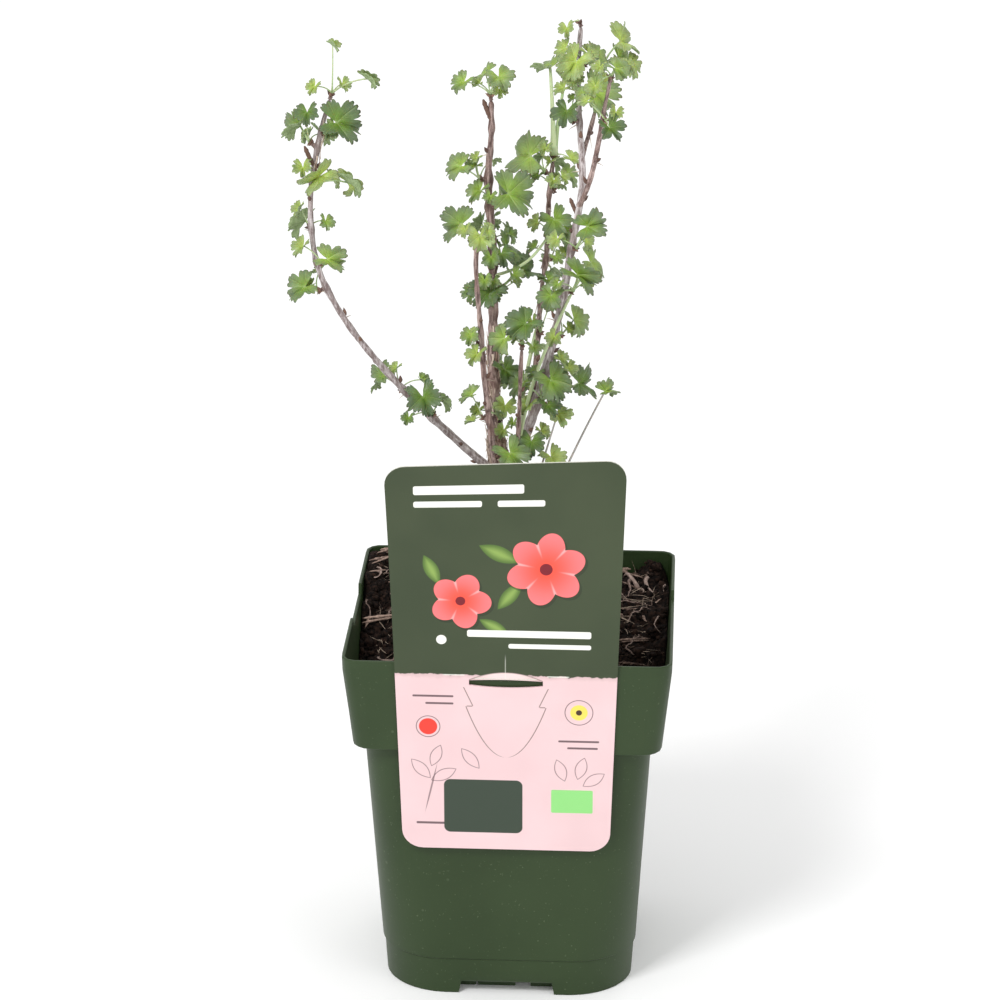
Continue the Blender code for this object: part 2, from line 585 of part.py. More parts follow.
def leaf_pieces(hub, root, heading, lift, reach, blade, chance):
    """One leaf on its stalk, as lists of shapes at two sizes: real, and with clearance."""
    joint = root + direction(heading, lift) * reach * MM
    level = (direction(heading, 0) + Vector((0, SUNWARD, 0))).normalized()
    upright = max(lift - UPRIGHT_FROM, 0) / UPRIGHT_SPAN
    droop = (DROOP + DROOP_BY_SIZE * blade) * (1 - (1 - DROOP_KEPT_UPRIGHT) * upright)
    droop = math.radians(droop + chance.uniform(-DROOP_SPREAD, DROOP_SPREAD))
    along_blade = math.cos(droop) * level - Vector((0, 0, math.sin(droop)))
    upper = math.sin(droop) * level + Vector((0, 0, math.cos(droop))) + LIGHT * chance.uniform(*TILT_RANGE)
    upper = (upper - along_blade * upper.dot(along_blade)).normalized()
    stalk = stalk_path(hub, direction(heading, lift), joint, along_blade)
    radii = [STALK_RADIUS * (1 - STALK_THINNING * k) for k in range(len(stalk))]
    radii[0] = STALK_RADIUS * STALK_FOOT_SWELL
    shapes = []
    for grow in (0.0, ROOM):
        shapes.append((loft(tube(stalk, radii, STALK_SIDES, grow)),
                       leaf_shape(joint, along_blade, upper, blade * MM, grow)))
    return shapes


def reserve(shape):
    """A search tree over a shape's faces."""
    points, faces = shape
    return BVHTree.FromPolygons([Vector(point) for point in points], faces)


def limb_thickness(limb, share):
    """A limb's radius at a share of its length."""
    if limb == "trunk":
        heights, radii = zip(*TRUNK_PROFILE)
        return float(np.interp(share * heights[-1], heights, radii)) * MM
    foot, tip = LIMBS[limb][3], LIMBS[limb][4]
    return 0.5 * (foot + (tip - foot) * share) * MM


def spur_direction(forward, leaves, at_tip):
    """The way a spray's spur points: between its leaves, off its limb's side or on past its tip."""
    mean = sum((direction(heading, lift) for heading, lift, _, _ in leaves), Vector()).normalized()
    if at_tip:
        return (mean * SPUR_BEND_AT_TIP + forward).normalized()
    return (mean - forward * mean.dot(forward) * SPUR_SQUARENESS).normalized()


def small_leaves(first, more, clear, chance):
    """The small leaves that follow a spray's first leaf, to one side and the other by turns."""
    heading, _, _, blade = first
    leaves = []
    for number in range(more):
        side = (1 if number % 2 else -1) * chance.uniform(*SMALL_TURN)
        size = max(SMALLEST, blade * chance.uniform(*SMALL_SHARE))
        lift = chance.uniform(*SMALL_LIFT)
        leaves.append((heading + side, lift, clear / MM + chance.uniform(*SMALL_REACH), size))
    return leaves


def place_leaf(hub, root, leaf, others, own, chance):
    """A leaf's shapes where it first clears the limbs, the other sprays and its own spray's blades."""
    heading, lift, reach, blade = leaf
    for attempt in range(TRIES):
        swing = (1 if attempt % 2 else -1) * (SWING_FIRST + SWING_MORE * attempt) if attempt else 0
        tip = chance.uniform(-TIP_SPREAD, TIP_SPREAD) if attempt >= TIP_AFTER else 0
        far = reach * (1 + STRETCH * attempt)
        real, wide = leaf_pieces(hub, root, heading + swing, lift + tip, far, blade, chance)
        trees = [reserve(shape) for shape in real]
        if any(tree.overlap(other) for tree in trees for other in others):
            continue
        if not any(trees[1].overlap(other) for other in own):
            return real, wide
    return None


def build_sprays(paths, shapes):
    """The sprays of leaves, each one solid. A leaf that finds no room is left out."""
    limb_trees = [reserve(loft(shape(ROOM))) for shape in shapes.values()]
    taken = []
    leaf_count = 0
    for name, (limb, share, more, main_leaves) in SPRAYS.items():
        chance = random.Random(zlib.crc32(name.encode()))
        root, forward = along(paths[limb], share)
        at_tip = share == 1.0
        clear = 0.0 if at_tip else limb_thickness(limb, share)
        outward = spur_direction(forward, main_leaves, at_tip)
        hub = root + outward * (clear + SPUR_LENGTH)
        made, own = [], []
        for leaf in list(main_leaves) + small_leaves(main_leaves[0], more, clear, chance):
            placed = place_leaf(hub, root, leaf, limb_trees + taken, own, chance)
            if placed is not None:
                real, wide = placed
                made += real
                own += [reserve(wide[1]), reserve(real[1])]
                leaf_count += 1
        foot = root + (forward * GAP if at_tip else outward * SPUR_FOOT_SHARE * clear)
        spur = tube([foot, hub + outward * SPUR_SINK], [SPUR_RADIUS, SPUR_RADIUS * SPUR_TAPER], SPUR_SIDES)
        spray = new_object(name, *loft(spur))
        boolean(spray, "UNION", [new_object(f"{name} piece {k}", *shape) for k, shape in enumerate(made)])
        boolean(spray, "DIFFERENCE", [new_object(f"room for {limb}", *loft(shapes[limb](GAP)))])
        keep_largest(spray)
        dress(spray, "leaf")
        taken += [reserve(shape) for shape in made]
    print(leaf_count, "leaves in", len(SPRAYS), "sprays")


def main():
    clear_scene()
    build_pot()
    build_soil()
    build_card()
    paths, shapes = build_limbs()
    build_sprays(paths, shapes)


main()
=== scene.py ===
# %% [markdown]
# # A gooseberry bush in its nursery pot
# This notebook dresses a finished set of solids: a young gooseberry bush, its square pot, the compost
# and the printed card. Each cell makes one piece or finish out of numpy surfaces and shader nodes.
# Lengths in tables are in millimetres.

import json
import math
import random
import zlib
from itertools import product

import bpy
import numpy as np
from mathutils import Matrix, Vector
from mathutils.bvhtree import BVHTree

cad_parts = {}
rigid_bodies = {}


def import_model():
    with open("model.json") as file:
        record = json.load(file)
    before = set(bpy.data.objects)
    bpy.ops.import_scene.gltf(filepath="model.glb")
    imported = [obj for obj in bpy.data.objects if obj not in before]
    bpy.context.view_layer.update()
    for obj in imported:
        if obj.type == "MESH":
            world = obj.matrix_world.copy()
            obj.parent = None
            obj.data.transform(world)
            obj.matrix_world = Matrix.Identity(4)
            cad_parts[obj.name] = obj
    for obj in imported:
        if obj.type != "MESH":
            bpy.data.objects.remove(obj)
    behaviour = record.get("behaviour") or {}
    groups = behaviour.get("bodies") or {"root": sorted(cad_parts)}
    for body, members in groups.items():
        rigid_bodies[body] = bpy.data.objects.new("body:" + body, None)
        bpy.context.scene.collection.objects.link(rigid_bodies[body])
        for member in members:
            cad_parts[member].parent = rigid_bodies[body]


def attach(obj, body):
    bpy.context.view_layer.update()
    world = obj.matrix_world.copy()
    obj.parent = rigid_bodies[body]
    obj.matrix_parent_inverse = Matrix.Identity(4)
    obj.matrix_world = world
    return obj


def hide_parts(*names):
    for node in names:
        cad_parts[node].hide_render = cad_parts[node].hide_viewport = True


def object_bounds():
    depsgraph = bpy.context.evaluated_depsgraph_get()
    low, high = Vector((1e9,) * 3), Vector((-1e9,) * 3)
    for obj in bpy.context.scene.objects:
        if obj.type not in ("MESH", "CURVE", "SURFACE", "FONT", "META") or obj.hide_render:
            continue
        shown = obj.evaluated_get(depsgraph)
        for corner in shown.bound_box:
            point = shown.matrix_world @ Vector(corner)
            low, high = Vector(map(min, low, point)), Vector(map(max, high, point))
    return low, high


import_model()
cad_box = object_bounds()
MM = 0.001
GAP = 0.3 * MM
print("the solids span", [[round(float(value), 4) for value in corner] for corner in cad_box])

# %% [markdown]
# Colours are easier to choose as the 0 to 255 values that a paint program shows. Blender's shaders
# work in linear light, so one small function turns the first kind into the second.

# %% Colours, noise and seeds


def colour(red, green, blue):
    """A screen colour as linear light: c/12.92 where dark, and ((c+0.055)/1.055)^2.4 above that."""
    shares = np.array([red, green, blue]) / 255
    linear = np.where(shares < 0.04045, shares / 12.92, ((shares + 0.055) / 1.055) ** 2.4)
    return (*(float(value) for value in linear), 1.0)


def unit(vectors):
    """Vectors divided by their own lengths."""
    return vectors / np.linalg.norm(vectors, axis=-1, keepdims=True)


def smooth(share):
    """A soft step from 0 to 1: 3t^2 - 2t^3."""
    share = np.clip(share, 0.0, 1.0)
    return share * share * (3 - 2 * share)


def noise(places, size, seed, layers=1):
    """Soft noise from -1 to 1: seeded values at the corners of cells of this size, blended by the soft step.
    Each further layer is half as large and half as strong."""
    table = np.random.default_rng(seed).uniform(-1, 1, 4093)
    total = np.zeros(places.shape[:-1])
    primes = np.array((73856093, 19349663, 83492791))[: places.shape[-1]]
    for layer in range(layers):
        cell = np.floor(places / size * 2 ** layer).astype(np.int64)
        part = smooth(places / size * 2 ** layer - cell)
        for corner in product((0, 1), repeat=places.shape[-1]):
            weight = np.prod(np.where(corner, part, 1 - part), axis=-1)
            key = ((cell + corner) * primes).sum(axis=-1) + 977 * layer
            total += weight * table[key % len(table)] / 2 ** layer
    return total


def seed_of(name, more=0):
    """The same seed for a name every time, so that each limb or spray keeps its own chance."""
    return zlib.crc32(name.encode()) + more


print("old bark in linear light:", [round(value, 3) for value in colour(120, 100, 95)])

# %% [markdown]
# Every new piece is a surface with two parameters: a grid of points that becomes faces by one rule.
# A tube is such a grid too, with a ring square to its line at each point. One fixed guide direction
# keeps the rings of a short line from twisting. Many small shapes share one mesh, because thousands
# of separate objects would be slow, so a `Heap` keeps lists of arrays and joins them once.

# %% Grids and tubes


def grid_faces(rows, columns, wrap=False):
    """Four-sided faces between neighbours on a grid, joined round the columns where wrap is set."""
    row = np.arange(rows - 1)[:, None]
    column = np.arange(columns if wrap else columns - 1)[None, :]
    after = (column + 1) % columns
    low, high = row * columns, (row + 1) * columns
    return np.stack([low + column, low + after, high + after, high + column], axis=-1).reshape(-1, 4)


def closed_tube(rings):
    """Points and faces of a skin over rings (rows, sides, 3), closed by a fan at each end."""
    rows, sides = rings.shape[:2]
    points = np.concatenate([rings.reshape(-1, 3), [rings[0].mean(axis=0), rings[-1].mean(axis=0)]])
    column = np.arange(sides)
    after = (column + 1) % sides
    gone = np.full(sides, -1)
    foot = np.stack([after, column, np.full(sides, rows * sides), gone], axis=-1)
    top = (rows - 1) * sides
    head = np.stack([top + column, top + after, np.full(sides, rows * sides + 1), gone], axis=-1)
    return points, np.concatenate([grid_faces(rows, sides, wrap=True), foot, head])


def face_lists(faces):
    """Each face as a list of its own corners."""
    return [[corner for corner in face if corner >= 0] for face in faces.tolist()]


def round_rings(line, radii, sides):
    """Rings (points, sides, 3) round a line: cos and sin of the angle times two directions square to it.
    Radii may vary along it and round it."""
    ahead = unit(np.gradient(line, axis=0))
    guide = np.eye(3)[np.argmin(np.abs(line[-1] - line[0]))]
    side = unit(guide - ahead * (ahead @ guide)[:, None])[:, None]
    angle = (np.arange(sides) / sides * math.tau)[None, :, None]
    spoke = np.cos(angle) * side + np.sin(angle) * np.cross(ahead[:, None], side)
    radii = np.asarray(radii)
    return line[:, None] + spoke * (radii[:, None, None] if radii.ndim == 1 else radii[..., None])


print("a tube of 2 rings with 6 sides has", len(closed_tube(np.zeros((2, 6, 3)))[1]), "faces")

# %% Heaps


class Heap:
    """Small shapes gathered into one mesh. Each shape brings points, faces of three or four corners
    (a missing fourth is -1), a material number, a tone and, if it has one, a flat map."""

    def __init__(self):
        self.points, self.faces, self.slots, self.tones, self.maps = [], [], [], [], []
        self.count = 0

    def add(self, points, faces, slot=0, tone=0.5, flat=None):
        self.points.append(points)
        self.faces.append(np.where(faces < 0, -1, faces + self.count))
        self.slots.append(np.broadcast_to(slot, len(faces)))
        self.tones.append(np.broadcast_to(tone, len(points)))
        self.maps.append(np.zeros((len(points), 2)) if flat is None else flat)
        self.count += len(points)

    def tube(self, line, radii, sides, tone):
        """Adds a closed round tube along a line."""
        self.add(*closed_tube(round_rings(line, radii, sides)), tone=tone)

    def build(self, name, materials, node_names, slot_name, sharp=None):
        """The finished object. It rides on the one body and stands for the named solids."""
        points = np.concatenate(self.points).astype(np.float32)
        faces = np.concatenate(self.faces)
        sizes = (faces >= 0).sum(axis=1)
        mesh = bpy.data.meshes.new(name)
        mesh.vertices.add(len(points))
        mesh.vertices.foreach_set("co", points.ravel())
        corners = faces[faces >= 0].astype(np.int32)
        mesh.loops.add(len(corners))
        mesh.loops.foreach_set("vertex_index", corners)
        mesh.polygons.add(len(faces))
        mesh.polygons.foreach_set("loop_start", np.concatenate([[0], np.cumsum(sizes)[:-1]]).astype(np.int32))
        mesh.polygons.foreach_set("material_index", np.concatenate(self.slots).astype(np.int32))
        mesh.update(calc_edges=True)
        tones = mesh.attributes.new("tone", "FLOAT", "POINT")
        tones.data.foreach_set("value", np.concatenate(self.tones).astype(np.float32))
        flat = mesh.uv_layers.new(name="flat")
        flat.uv.foreach_set("vector", np.concatenate(self.maps)[corners].astype(np.float32).ravel())
        mesh.validate()
        mesh.shade_smooth()
        if sharp is not None:
            mesh.set_sharp_from_angle(angle=math.radians(sharp))
        for material in materials:
            mesh.materials.append(material)
        piece = bpy.data.objects.new(name, mesh)
        bpy.context.scene.collection.objects.link(piece)
        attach(piece, "root")
        if node_names:
            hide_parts(*node_names)
        print(f"{name}: {int((sizes - 2).sum())} triangles")
        return piece


# %% [markdown]
# A material is a small circuit of nodes, easier to read as Python sums. A `Wire` wraps one output
# socket, and each operator on it adds the matching Math node. A `Board` is one material: `add` makes
# any node, and `finish` plugs the results into the Principled shader.

# %% Shader sums


class Wire:
    """One number or colour on its way through a material's nodes."""

    def __init__(self, board, socket):
        self.board, self.socket = board, socket

    def maths(self, operation, *others):
        return self.board.add("Math", {"operation": operation}, dict(enumerate((self, *others))))

    def __add__(self, other):
        return self.maths("ADD", other)

    def __sub__(self, other):
        return self.maths("SUBTRACT", other)

    def __rsub__(self, other):
        return self.board.add("Math", {"operation": "SUBTRACT"}, {0: other, 1: self})

    def __mul__(self, other):
        return self.maths("MULTIPLY", other)

    def __truediv__(self, other):
        return self.maths("DIVIDE", other)

    __radd__, __rmul__ = __add__, __mul__

    def within(self, low, high):
        """A soft step that is 0 at low and 1 at high."""
        settings = {"interpolation_type": "SMOOTHSTEP"}
        return self.board.add("MapRange", settings, {"Value": self, "From Min": low, "From Max": high})


class Board:
    """The nodes of one material."""

    def __init__(self, name):
        self.material = bpy.data.materials.new(name)
        self.material.use_nodes = True
        self.tree = self.material.node_tree
        self.shader = self.tree.nodes["Principled BSDF"]
        self.place = self.add("TexCoord", output="Object")

    def add(self, kind, settings=None, inputs=None, output=0):
        node = self.tree.nodes.new("ShaderNode" + kind)
        for key, value in (settings or {}).items():
            setattr(node, key, value)
        for key, value in (inputs or {}).items():
            self.join(node.inputs[key], value)
        return Wire(self, node.outputs[output])

    def join(self, socket, value):
        if isinstance(value, Wire):
            self.tree.links.new(value.socket, socket)
        else:
            socket.default_value = value

    def noise(self, scale, detail, up=1.0):
        """Noise in object coordinates, drawn out along Z where up is under 1."""
        place = self.place
        if up < 1:
            place = self.add("Mapping", None, {"Vector": place, "Scale": (1, 1, up)})
        return self.add("TexNoise", None, {"Vector": place, "Scale": scale, "Detail": detail})

    def mix(self, share, first, second):
        """Colours mixed by a share: inputs 6 and 7 of the Mix node are its two colours."""
        return self.add("Mix", {"data_type": "RGBA"}, {0: share, 6: first, 7: second}, output=2)

    def tone(self):
        """The tone that each small shape was given."""
        return self.add("Attribute", {"attribute_name": "tone"}, output="Fac")

    def flat(self):
        """The two directions of the piece's own flat map."""
        split = self.add("SeparateXYZ", None, {0: self.add("UVMap", {"uv_map": "flat"})})
        return split, Wire(self, split.socket.node.outputs[1])

    def finish(self, base, roughness, bump=None, strength=0.3, distance=0.3 * MM, **fixed):
        """Plugs in what varies, and sets the numbers that are the same all over."""
        self.join(self.shader.inputs["Base Color"], base)
        self.join(self.shader.inputs["Roughness"], roughness)
        for key, value in fixed.items():
            self.shader.inputs[key.replace("_", " ")].default_value = value
        if bump is not None:
            inputs = {"Height": bump, "Strength": strength, "Distance": distance}
            self.join(self.shader.inputs["Normal"], self.add("Bump", None, inputs))
        return self.material


print("shader helpers ready")

# %% [markdown]
# ## Camera, floor and light
# The photograph is a plain product shot on a white sweep, through a long lens from 1.6 metres away.
# The camera stands there, turned, tipped and rolled in that order. Big soft lights and a pale floor
# give the same open shade, and the floor glows a little where the lamps no longer reach it.

# %% Camera
CAMERA_PLACE = (66.8, -1477.6, 730.0)
CAMERA_TURN, CAMERA_DIP, CAMERA_ROLL = 2.812, 19.902, 0.2156
CAMERA_LENS, CAMERA_SENSOR = 141.63, 36.0
lens = bpy.data.cameras.new("camera")
lens.lens, lens.sensor_width = CAMERA_LENS, CAMERA_SENSOR
camera = bpy.data.objects.new("camera", lens)
bpy.context.scene.collection.objects.link(camera)
camera.matrix_world = Matrix.Translation(Vector(CAMERA_PLACE) * MM)
for angle, axis in ((CAMERA_TURN, "Z"), (90 - CAMERA_DIP, "X"), (CAMERA_ROLL, "Z")):
    camera.matrix_world = camera.matrix_world @ Matrix.Rotation(math.radians(angle), 4, axis)
bpy.context.scene.camera = camera
print("camera stands at", [round(value, 3) for value in camera.location])

# %% Floor, sky and lamps
FLOOR_HALF, FLOOR_PAINT, SKY_STRENGTH = 6.0, 0.93, 0.78
GLOW, GLOW_NEAR, GLOW_FROM, GLOW_FULL = 0.17, 0.3, 0.3, 1.8  # strength, share near the pot, metres
LAMPS_AIM = Vector((0, 0, 0.2))
LAMPS = {  # place in metres, width, power in watts
    "window": ((-0.7, -1.2, 1.5), 0.5, 19.0),
    "fill": ((1.4, -1.2, 0.9), 1.0, 5.0),
    "rear": ((0.3, 1.5, 1.5), 1.2, 5.0),
}


def add_lamp(name, place, width, power):
    """A square area lamp aimed at the middle of the bush."""
    light = bpy.data.lights.new(name, "AREA")
    light.size, light.energy = width, power
    lamp = bpy.data.objects.new(name, light)
    bpy.context.scene.collection.objects.link(lamp)
    lamp.location = place
    lamp.rotation_euler = (LAMPS_AIM - Vector(place)).to_track_quat("-Z", "Y").to_euler()


def grey(value):
    """A grey of this much linear light."""
    return (value, value, value, 1.0)


floor_mesh = bpy.data.meshes.new("floor")
corners = [(x * FLOOR_HALF, y * FLOOR_HALF, 0.0) for x, y in ((-1, -1), (1, -1), (1, 1), (-1, 1))]
floor_mesh.from_pydata(corners, [], [(0, 1, 2, 3)])
floor = bpy.data.objects.new("floor", floor_mesh)
bpy.context.scene.collection.objects.link(floor)
paint = Board("pale floor")
far = paint.add("VectorMath", {"operation": "LENGTH"}, {0: paint.place}, output="Value")
glow = paint.mix(far.within(GLOW_FROM, GLOW_FULL), grey(GLOW_NEAR), grey(1.0))
paint.join(paint.shader.inputs["Emission Color"], glow)
white = paint.finish(grey(FLOOR_PAINT), 1.0, Specular_IOR_Level=0.0, Emission_Strength=GLOW)
floor_mesh.materials.append(white)
for name, (place, width, power) in LAMPS.items():
    add_lamp(name, place, width, power)
sky = bpy.data.worlds.new("sky")
sky.use_nodes = True
sky_light = sky.node_tree.nodes["Background"].inputs
sky_light["Color"].default_value, sky_light["Strength"].default_value = grey(1.0), SKY_STRENGTH
bpy.context.scene.world = sky
bpy.context.scene.view_settings.view_transform = "Standard"
print(len(LAMPS), "soft lamps")

# %% [markdown]
# ## The pot
# A thin moulded tub: a square body that narrows to a round-cornered base, and a collar with a shallow
# notch in each side. One skin covers it all, in rows from the raised floor out under the foot, up
# outside, over the rim and down inside. A row is a plain square whose border points are pulled in to
# the corner's arc. At the notches and the two drain cut-outs the rows are only lowered or raised.

# %% Pot measures
POT_HEIGHT, POT_WALL, POT_EDGE = 150 * MM, 1.3 * MM, 0.35 * MM
RIM_HALF, RIM_CORNER = 65 * MM, 6 * MM
COLLAR_HALF, COLLAR_CORNER, COLLAR_FOOT = 61 * MM, 8 * MM, 111 * MM
BODY_HALF, BODY_CORNER = 56.8 * MM, 12 * MM
BASE_HALF, BASE_CORNER = 50 * MM, 26 * MM
STEP_HALF, STEP_HEIGHT, STEP_OUT = 50.9 * MM, 15.5 * MM, 0.7 * MM
FLOOR_UNDER, FLOOR_TOP = 5.5 * MM, 7 * MM
NOTCH_DEPTH, NOTCH_HALF = 4 * MM, 18.7 * MM
DRAIN_HEIGHT, DRAIN_HALF = 5.2 * MM, 18.25 * MM
CUT_SIDE = 19.3 * MM
SIDE_STEPS, CORNER_STEPS = 9, 11
RIBS = ((-24, -12.6), (-12, 3.3), (9.4, 20))
RIB_REACH, RIB_EDGE = 43 * MM, 0.5 * MM
RIM_LIP, RIM_LIP_FOOT = 0.6 * MM, 6 * MM
NOTCH_LEAN = 0.1
HOLE_RADIUS, HOLE_PLACE, HOLE_SIDES = 4 * MM, 34 * MM, 24
print("the rim is", round(2 * RIM_HALF / MM), "mm wide")

# %% Rounded squares


def pull_in(points, half, corner):
    """Border points of a plain square moved onto the arc of its rounded corner."""
    straight = half - corner
    over = np.maximum(np.abs(points) - straight, 0)
    far = np.linalg.norm(over, axis=-1, keepdims=True)
    over = over * np.where(far > corner, corner / np.maximum(far, 1e-9), 1.0)
    return np.sign(points) * (np.minimum(np.abs(points), straight) + over)


def square_ring(half, corner, height, notch=0.0, drain=0.0):
    """One row of the pot's skin: a rounded square, lowered at the notches and raised at the cut-outs. Each
    side's places bunch at its corners' arcs and at the edges of a cut."""
    inner = NOTCH_HALF + (DRAIN_HALF - NOTCH_HALF) * drain
    outer = CUT_SIDE + (half - CUT_SIDE) * np.linspace(1, 0, CORNER_STEPS)
    station = np.concatenate([-outer, np.linspace(-inner, inner, SIDE_STEPS), outer[:0:-1]])
    cut = np.abs(station) <= inner + 1e-6
    border = np.stack([station, np.full_like(station, -half)], axis=-1)
    flat = pull_in(border, half - notch * NOTCH_DEPTH * NOTCH_LEAN, corner)
    rows = []
    for quarter in range(4):
        rise = cut * (drain * DRAIN_HEIGHT * (quarter % 2 == 0) - notch * NOTCH_DEPTH)
        turn = math.radians(90 * quarter)
        spin = np.array([[math.cos(turn), -math.sin(turn)], [math.sin(turn), math.cos(turn)]])
        rows.append(np.concatenate([flat @ spin.T, (height + rise)[:, None]], axis=1))
    return np.concatenate(rows)


print("a row has", len(square_ring(RIM_HALF, RIM_CORNER, 0)), "points")

# %% Pot rows


def between(first, second, share):
    """A row's measures part of the way from one row to another."""
    return tuple(a + (b - a) * share for a, b in zip(first, second))


def pot_rings():
    """All the rows of the pot's skin, from the middle of its underside to the middle of its floor."""
    wall, edge, ledge = POT_WALL, POT_EDGE, COLLAR_FOOT + POT_WALL
    foot, step = (BASE_HALF, BASE_CORNER, 0.0), (STEP_HALF, BASE_CORNER, STEP_HEIGHT)
    above = (STEP_HALF + STEP_OUT, BASE_CORNER, STEP_HEIGHT + STEP_OUT)
    body_top = (BODY_HALF, BODY_CORNER, COLLAR_FOOT - edge)
    collar = (COLLAR_HALF, COLLAR_CORNER, COLLAR_FOOT + edge)
    rim = (RIM_HALF, RIM_CORNER, POT_HEIGHT - edge)
    foot_in, foot_arc = BASE_HALF - wall, BASE_CORNER - wall
    rim_in, rim_arc = RIM_HALF - wall, RIM_CORNER - wall
    rows = [(foot_in, foot_arc, FLOOR_UNDER), (foot_in, foot_arc, edge, 0, 1),
            (foot_in + edge, foot_arc, 0.0, 0, 1), (BASE_HALF - edge, BASE_CORNER, 0.0, 0, 1),
            (BASE_HALF, BASE_CORNER, edge, 0, 1)]
    rows += [between(foot, step, share) for share in (0.4, 0.7, 0.97, 1.0)]
    rows += [between(above, body_top, share) for share in (0.0, 0.01, 0.25, 0.5, 0.75, 0.99, 1.0)]
    rows += [(BODY_HALF + edge, BODY_CORNER, COLLAR_FOOT), (COLLAR_HALF - edge, COLLAR_CORNER, COLLAR_FOOT)]
    rows += [between(collar, rim, share) for share in (0.0, 0.03, 0.4, 0.7, 0.86)]
    rows += [(*rim, 1), (RIM_HALF - edge, RIM_CORNER, POT_HEIGHT, 1), (rim_in + edge, rim_arc, POT_HEIGHT, 1),
             (rim_in, rim_arc, POT_HEIGHT - edge, 1), (rim_in - RIM_LIP, rim_arc, POT_HEIGHT - RIM_LIP_FOOT),
             (COLLAR_HALF - wall, COLLAR_CORNER - wall, ledge), (BODY_HALF - wall, BODY_CORNER - wall, ledge),
             (foot_in + edge, foot_arc, FLOOR_TOP)]
    return np.stack([square_ring(*row) for row in rows])


print(len(pot_rings()), "rows from the floor's underside to its top")

# %% Ribs and holes


def rib_rings(left, right):
    """Rings of a rib from the ground to the floor: a plain block with its level edges cut off a little."""
    rings = []
    for height, inset in ((0, RIB_EDGE), (RIB_EDGE, 0), (FLOOR_UNDER, 0), (FLOOR_UNDER + RIB_EDGE, RIB_EDGE)):
        x0, x1, y = left * MM + inset, right * MM - inset, RIB_REACH - inset
        rings.append([(x0, -y, height), (x1, -y, height), (x1, y, height), (x0, y, height)])
    return np.array(rings)


def hole_rings(x, y):
    """Two rings of a round plug through the pot's floor."""
    angle = np.arange(HOLE_SIDES) / HOLE_SIDES * math.tau
    edge = np.stack([np.cos(angle), np.sin(angle), 0 * angle], axis=1) * HOLE_RADIUS
    return np.stack([edge + (x, y, height) for height in (FLOOR_UNDER - MM, FLOOR_TOP + MM)])


def cut_out(piece, plugs_rings):
    """Takes closed tubes over these rings out of a piece by one Boolean difference, then removes them."""
    plugs = bpy.data.collections.new("plugs")
    bpy.context.scene.collection.children.link(plugs)
    for rings in plugs_rings:
        points, faces = closed_tube(rings)
        mesh = bpy.data.meshes.new("plug")
        mesh.from_pydata(points.tolist(), [], face_lists(faces))
        plugs.objects.link(bpy.data.objects.new("plug", mesh))
    modifier = piece.modifiers.new("holes", "BOOLEAN")
    modifier.operation, modifier.operand_type, modifier.collection = "DIFFERENCE", "COLLECTION", plugs
    cut = piece.evaluated_get(bpy.context.evaluated_depsgraph_get())
    mesh = bpy.data.meshes.new_from_object(cut)
    piece.modifiers.clear()
    piece.data = mesh
    for plug in list(plugs.objects):
        bpy.data.objects.remove(plug)
    bpy.data.collections.remove(plugs)
    print(f"{piece.name}: {len(plugs_rings)} cut out")


# %% [markdown]
# The pot is recycled green polypropylene: satin, with a fine grain from the mould, faint clouds, dust
# and dried drops. All of these are noise at different scales, and change the finish by a few percent.

# %% Pot plastic


def pot_plastic():
    """Green plastic: slow clouds and fine dust in the colour, drops in the gloss, a grain in the bump."""
    board = Board("pot plastic")
    clouds = board.noise(18, 4)
    dust = board.noise(900, 2).within(0.66, 0.78)
    drops = board.add("TexVoronoi", None, {"Vector": board.place, "Scale": 150.0}, output="Distance")
    spots = (1 - drops.within(0.05, 0.13)) * board.noise(60, 1).within(0.55, 0.62)
    green = board.mix(clouds.within(0.3, 0.7), colour(40, 57, 28), colour(47, 64, 35))
    dusty = board.mix(dust * 0.35 + spots * 0.25, green, colour(112, 126, 98))
    grain = board.noise(2600, 2) * 0.5 + clouds * 0.5
    return board.finish(dusty, clouds * 0.2 + 0.36, grain, strength=0.12, distance=0.2 * MM,
                        Specular_IOR_Level=0.3)


# %% The tub
pot_heap = Heap()
pot_heap.add(*closed_tube(pot_rings()))
for left, right in RIBS:
    pot_heap.add(*closed_tube(rib_rings(left, right)))
pot = pot_heap.build("tub", [pot_plastic()], ["pot"], "pot_plastic", sharp=32)
cut_out(pot, [hole_rings(x, y) for x, y in product((-HOLE_PLACE, HOLE_PLACE), repeat=2)])

# %% [markdown]
# ## The compost
# Composted bark and peat: a dark crumbly bed, lower behind the card, with chips and pale fibres on
# it. The bed is a height over a square grid, and its border is carried down to the pot's floor.

# %% Compost height
SOIL_TOP, SOIL_DROP, SOIL_FROM, SOIL_TO = 138 * MM, 15 * MM, 6 * MM, -42 * MM
PILES = ((-57, 54, 13, 11.5), (-61, 32, 13, 11.5), (-63, 12, 6, 5.0), (46, 54, 15, 6.0), (55, 60, 5, 5.5),
         (-4, 58, 22, 5.0), (40, 22, 12, 2.5), (62, 36, 9, 4.0))
SOIL_RIM_DROP, SOIL_LOW, SOIL_CORNER, SOIL_GRID = 1.5 * MM, 114 * MM, 7 * MM, 150
SOIL_FLAT, SOIL_CLEAR, SOIL_ARC, SOIL_FOOT = 10 * MM, 0.4 * MM, 0.12, 113 * MM
LUMP_SIZES = ((11, 3, 2, 2.4), (2.6, 4, 3, 1.5))  # cell, seed, layers and height


def collar_inner(height):
    """Half width of the collar's inner face at a height."""
    share = (height - COLLAR_FOOT) / (POT_HEIGHT - COLLAR_FOOT)
    return COLLAR_HALF + share * (RIM_HALF - COLLAR_HALF) - POT_WALL


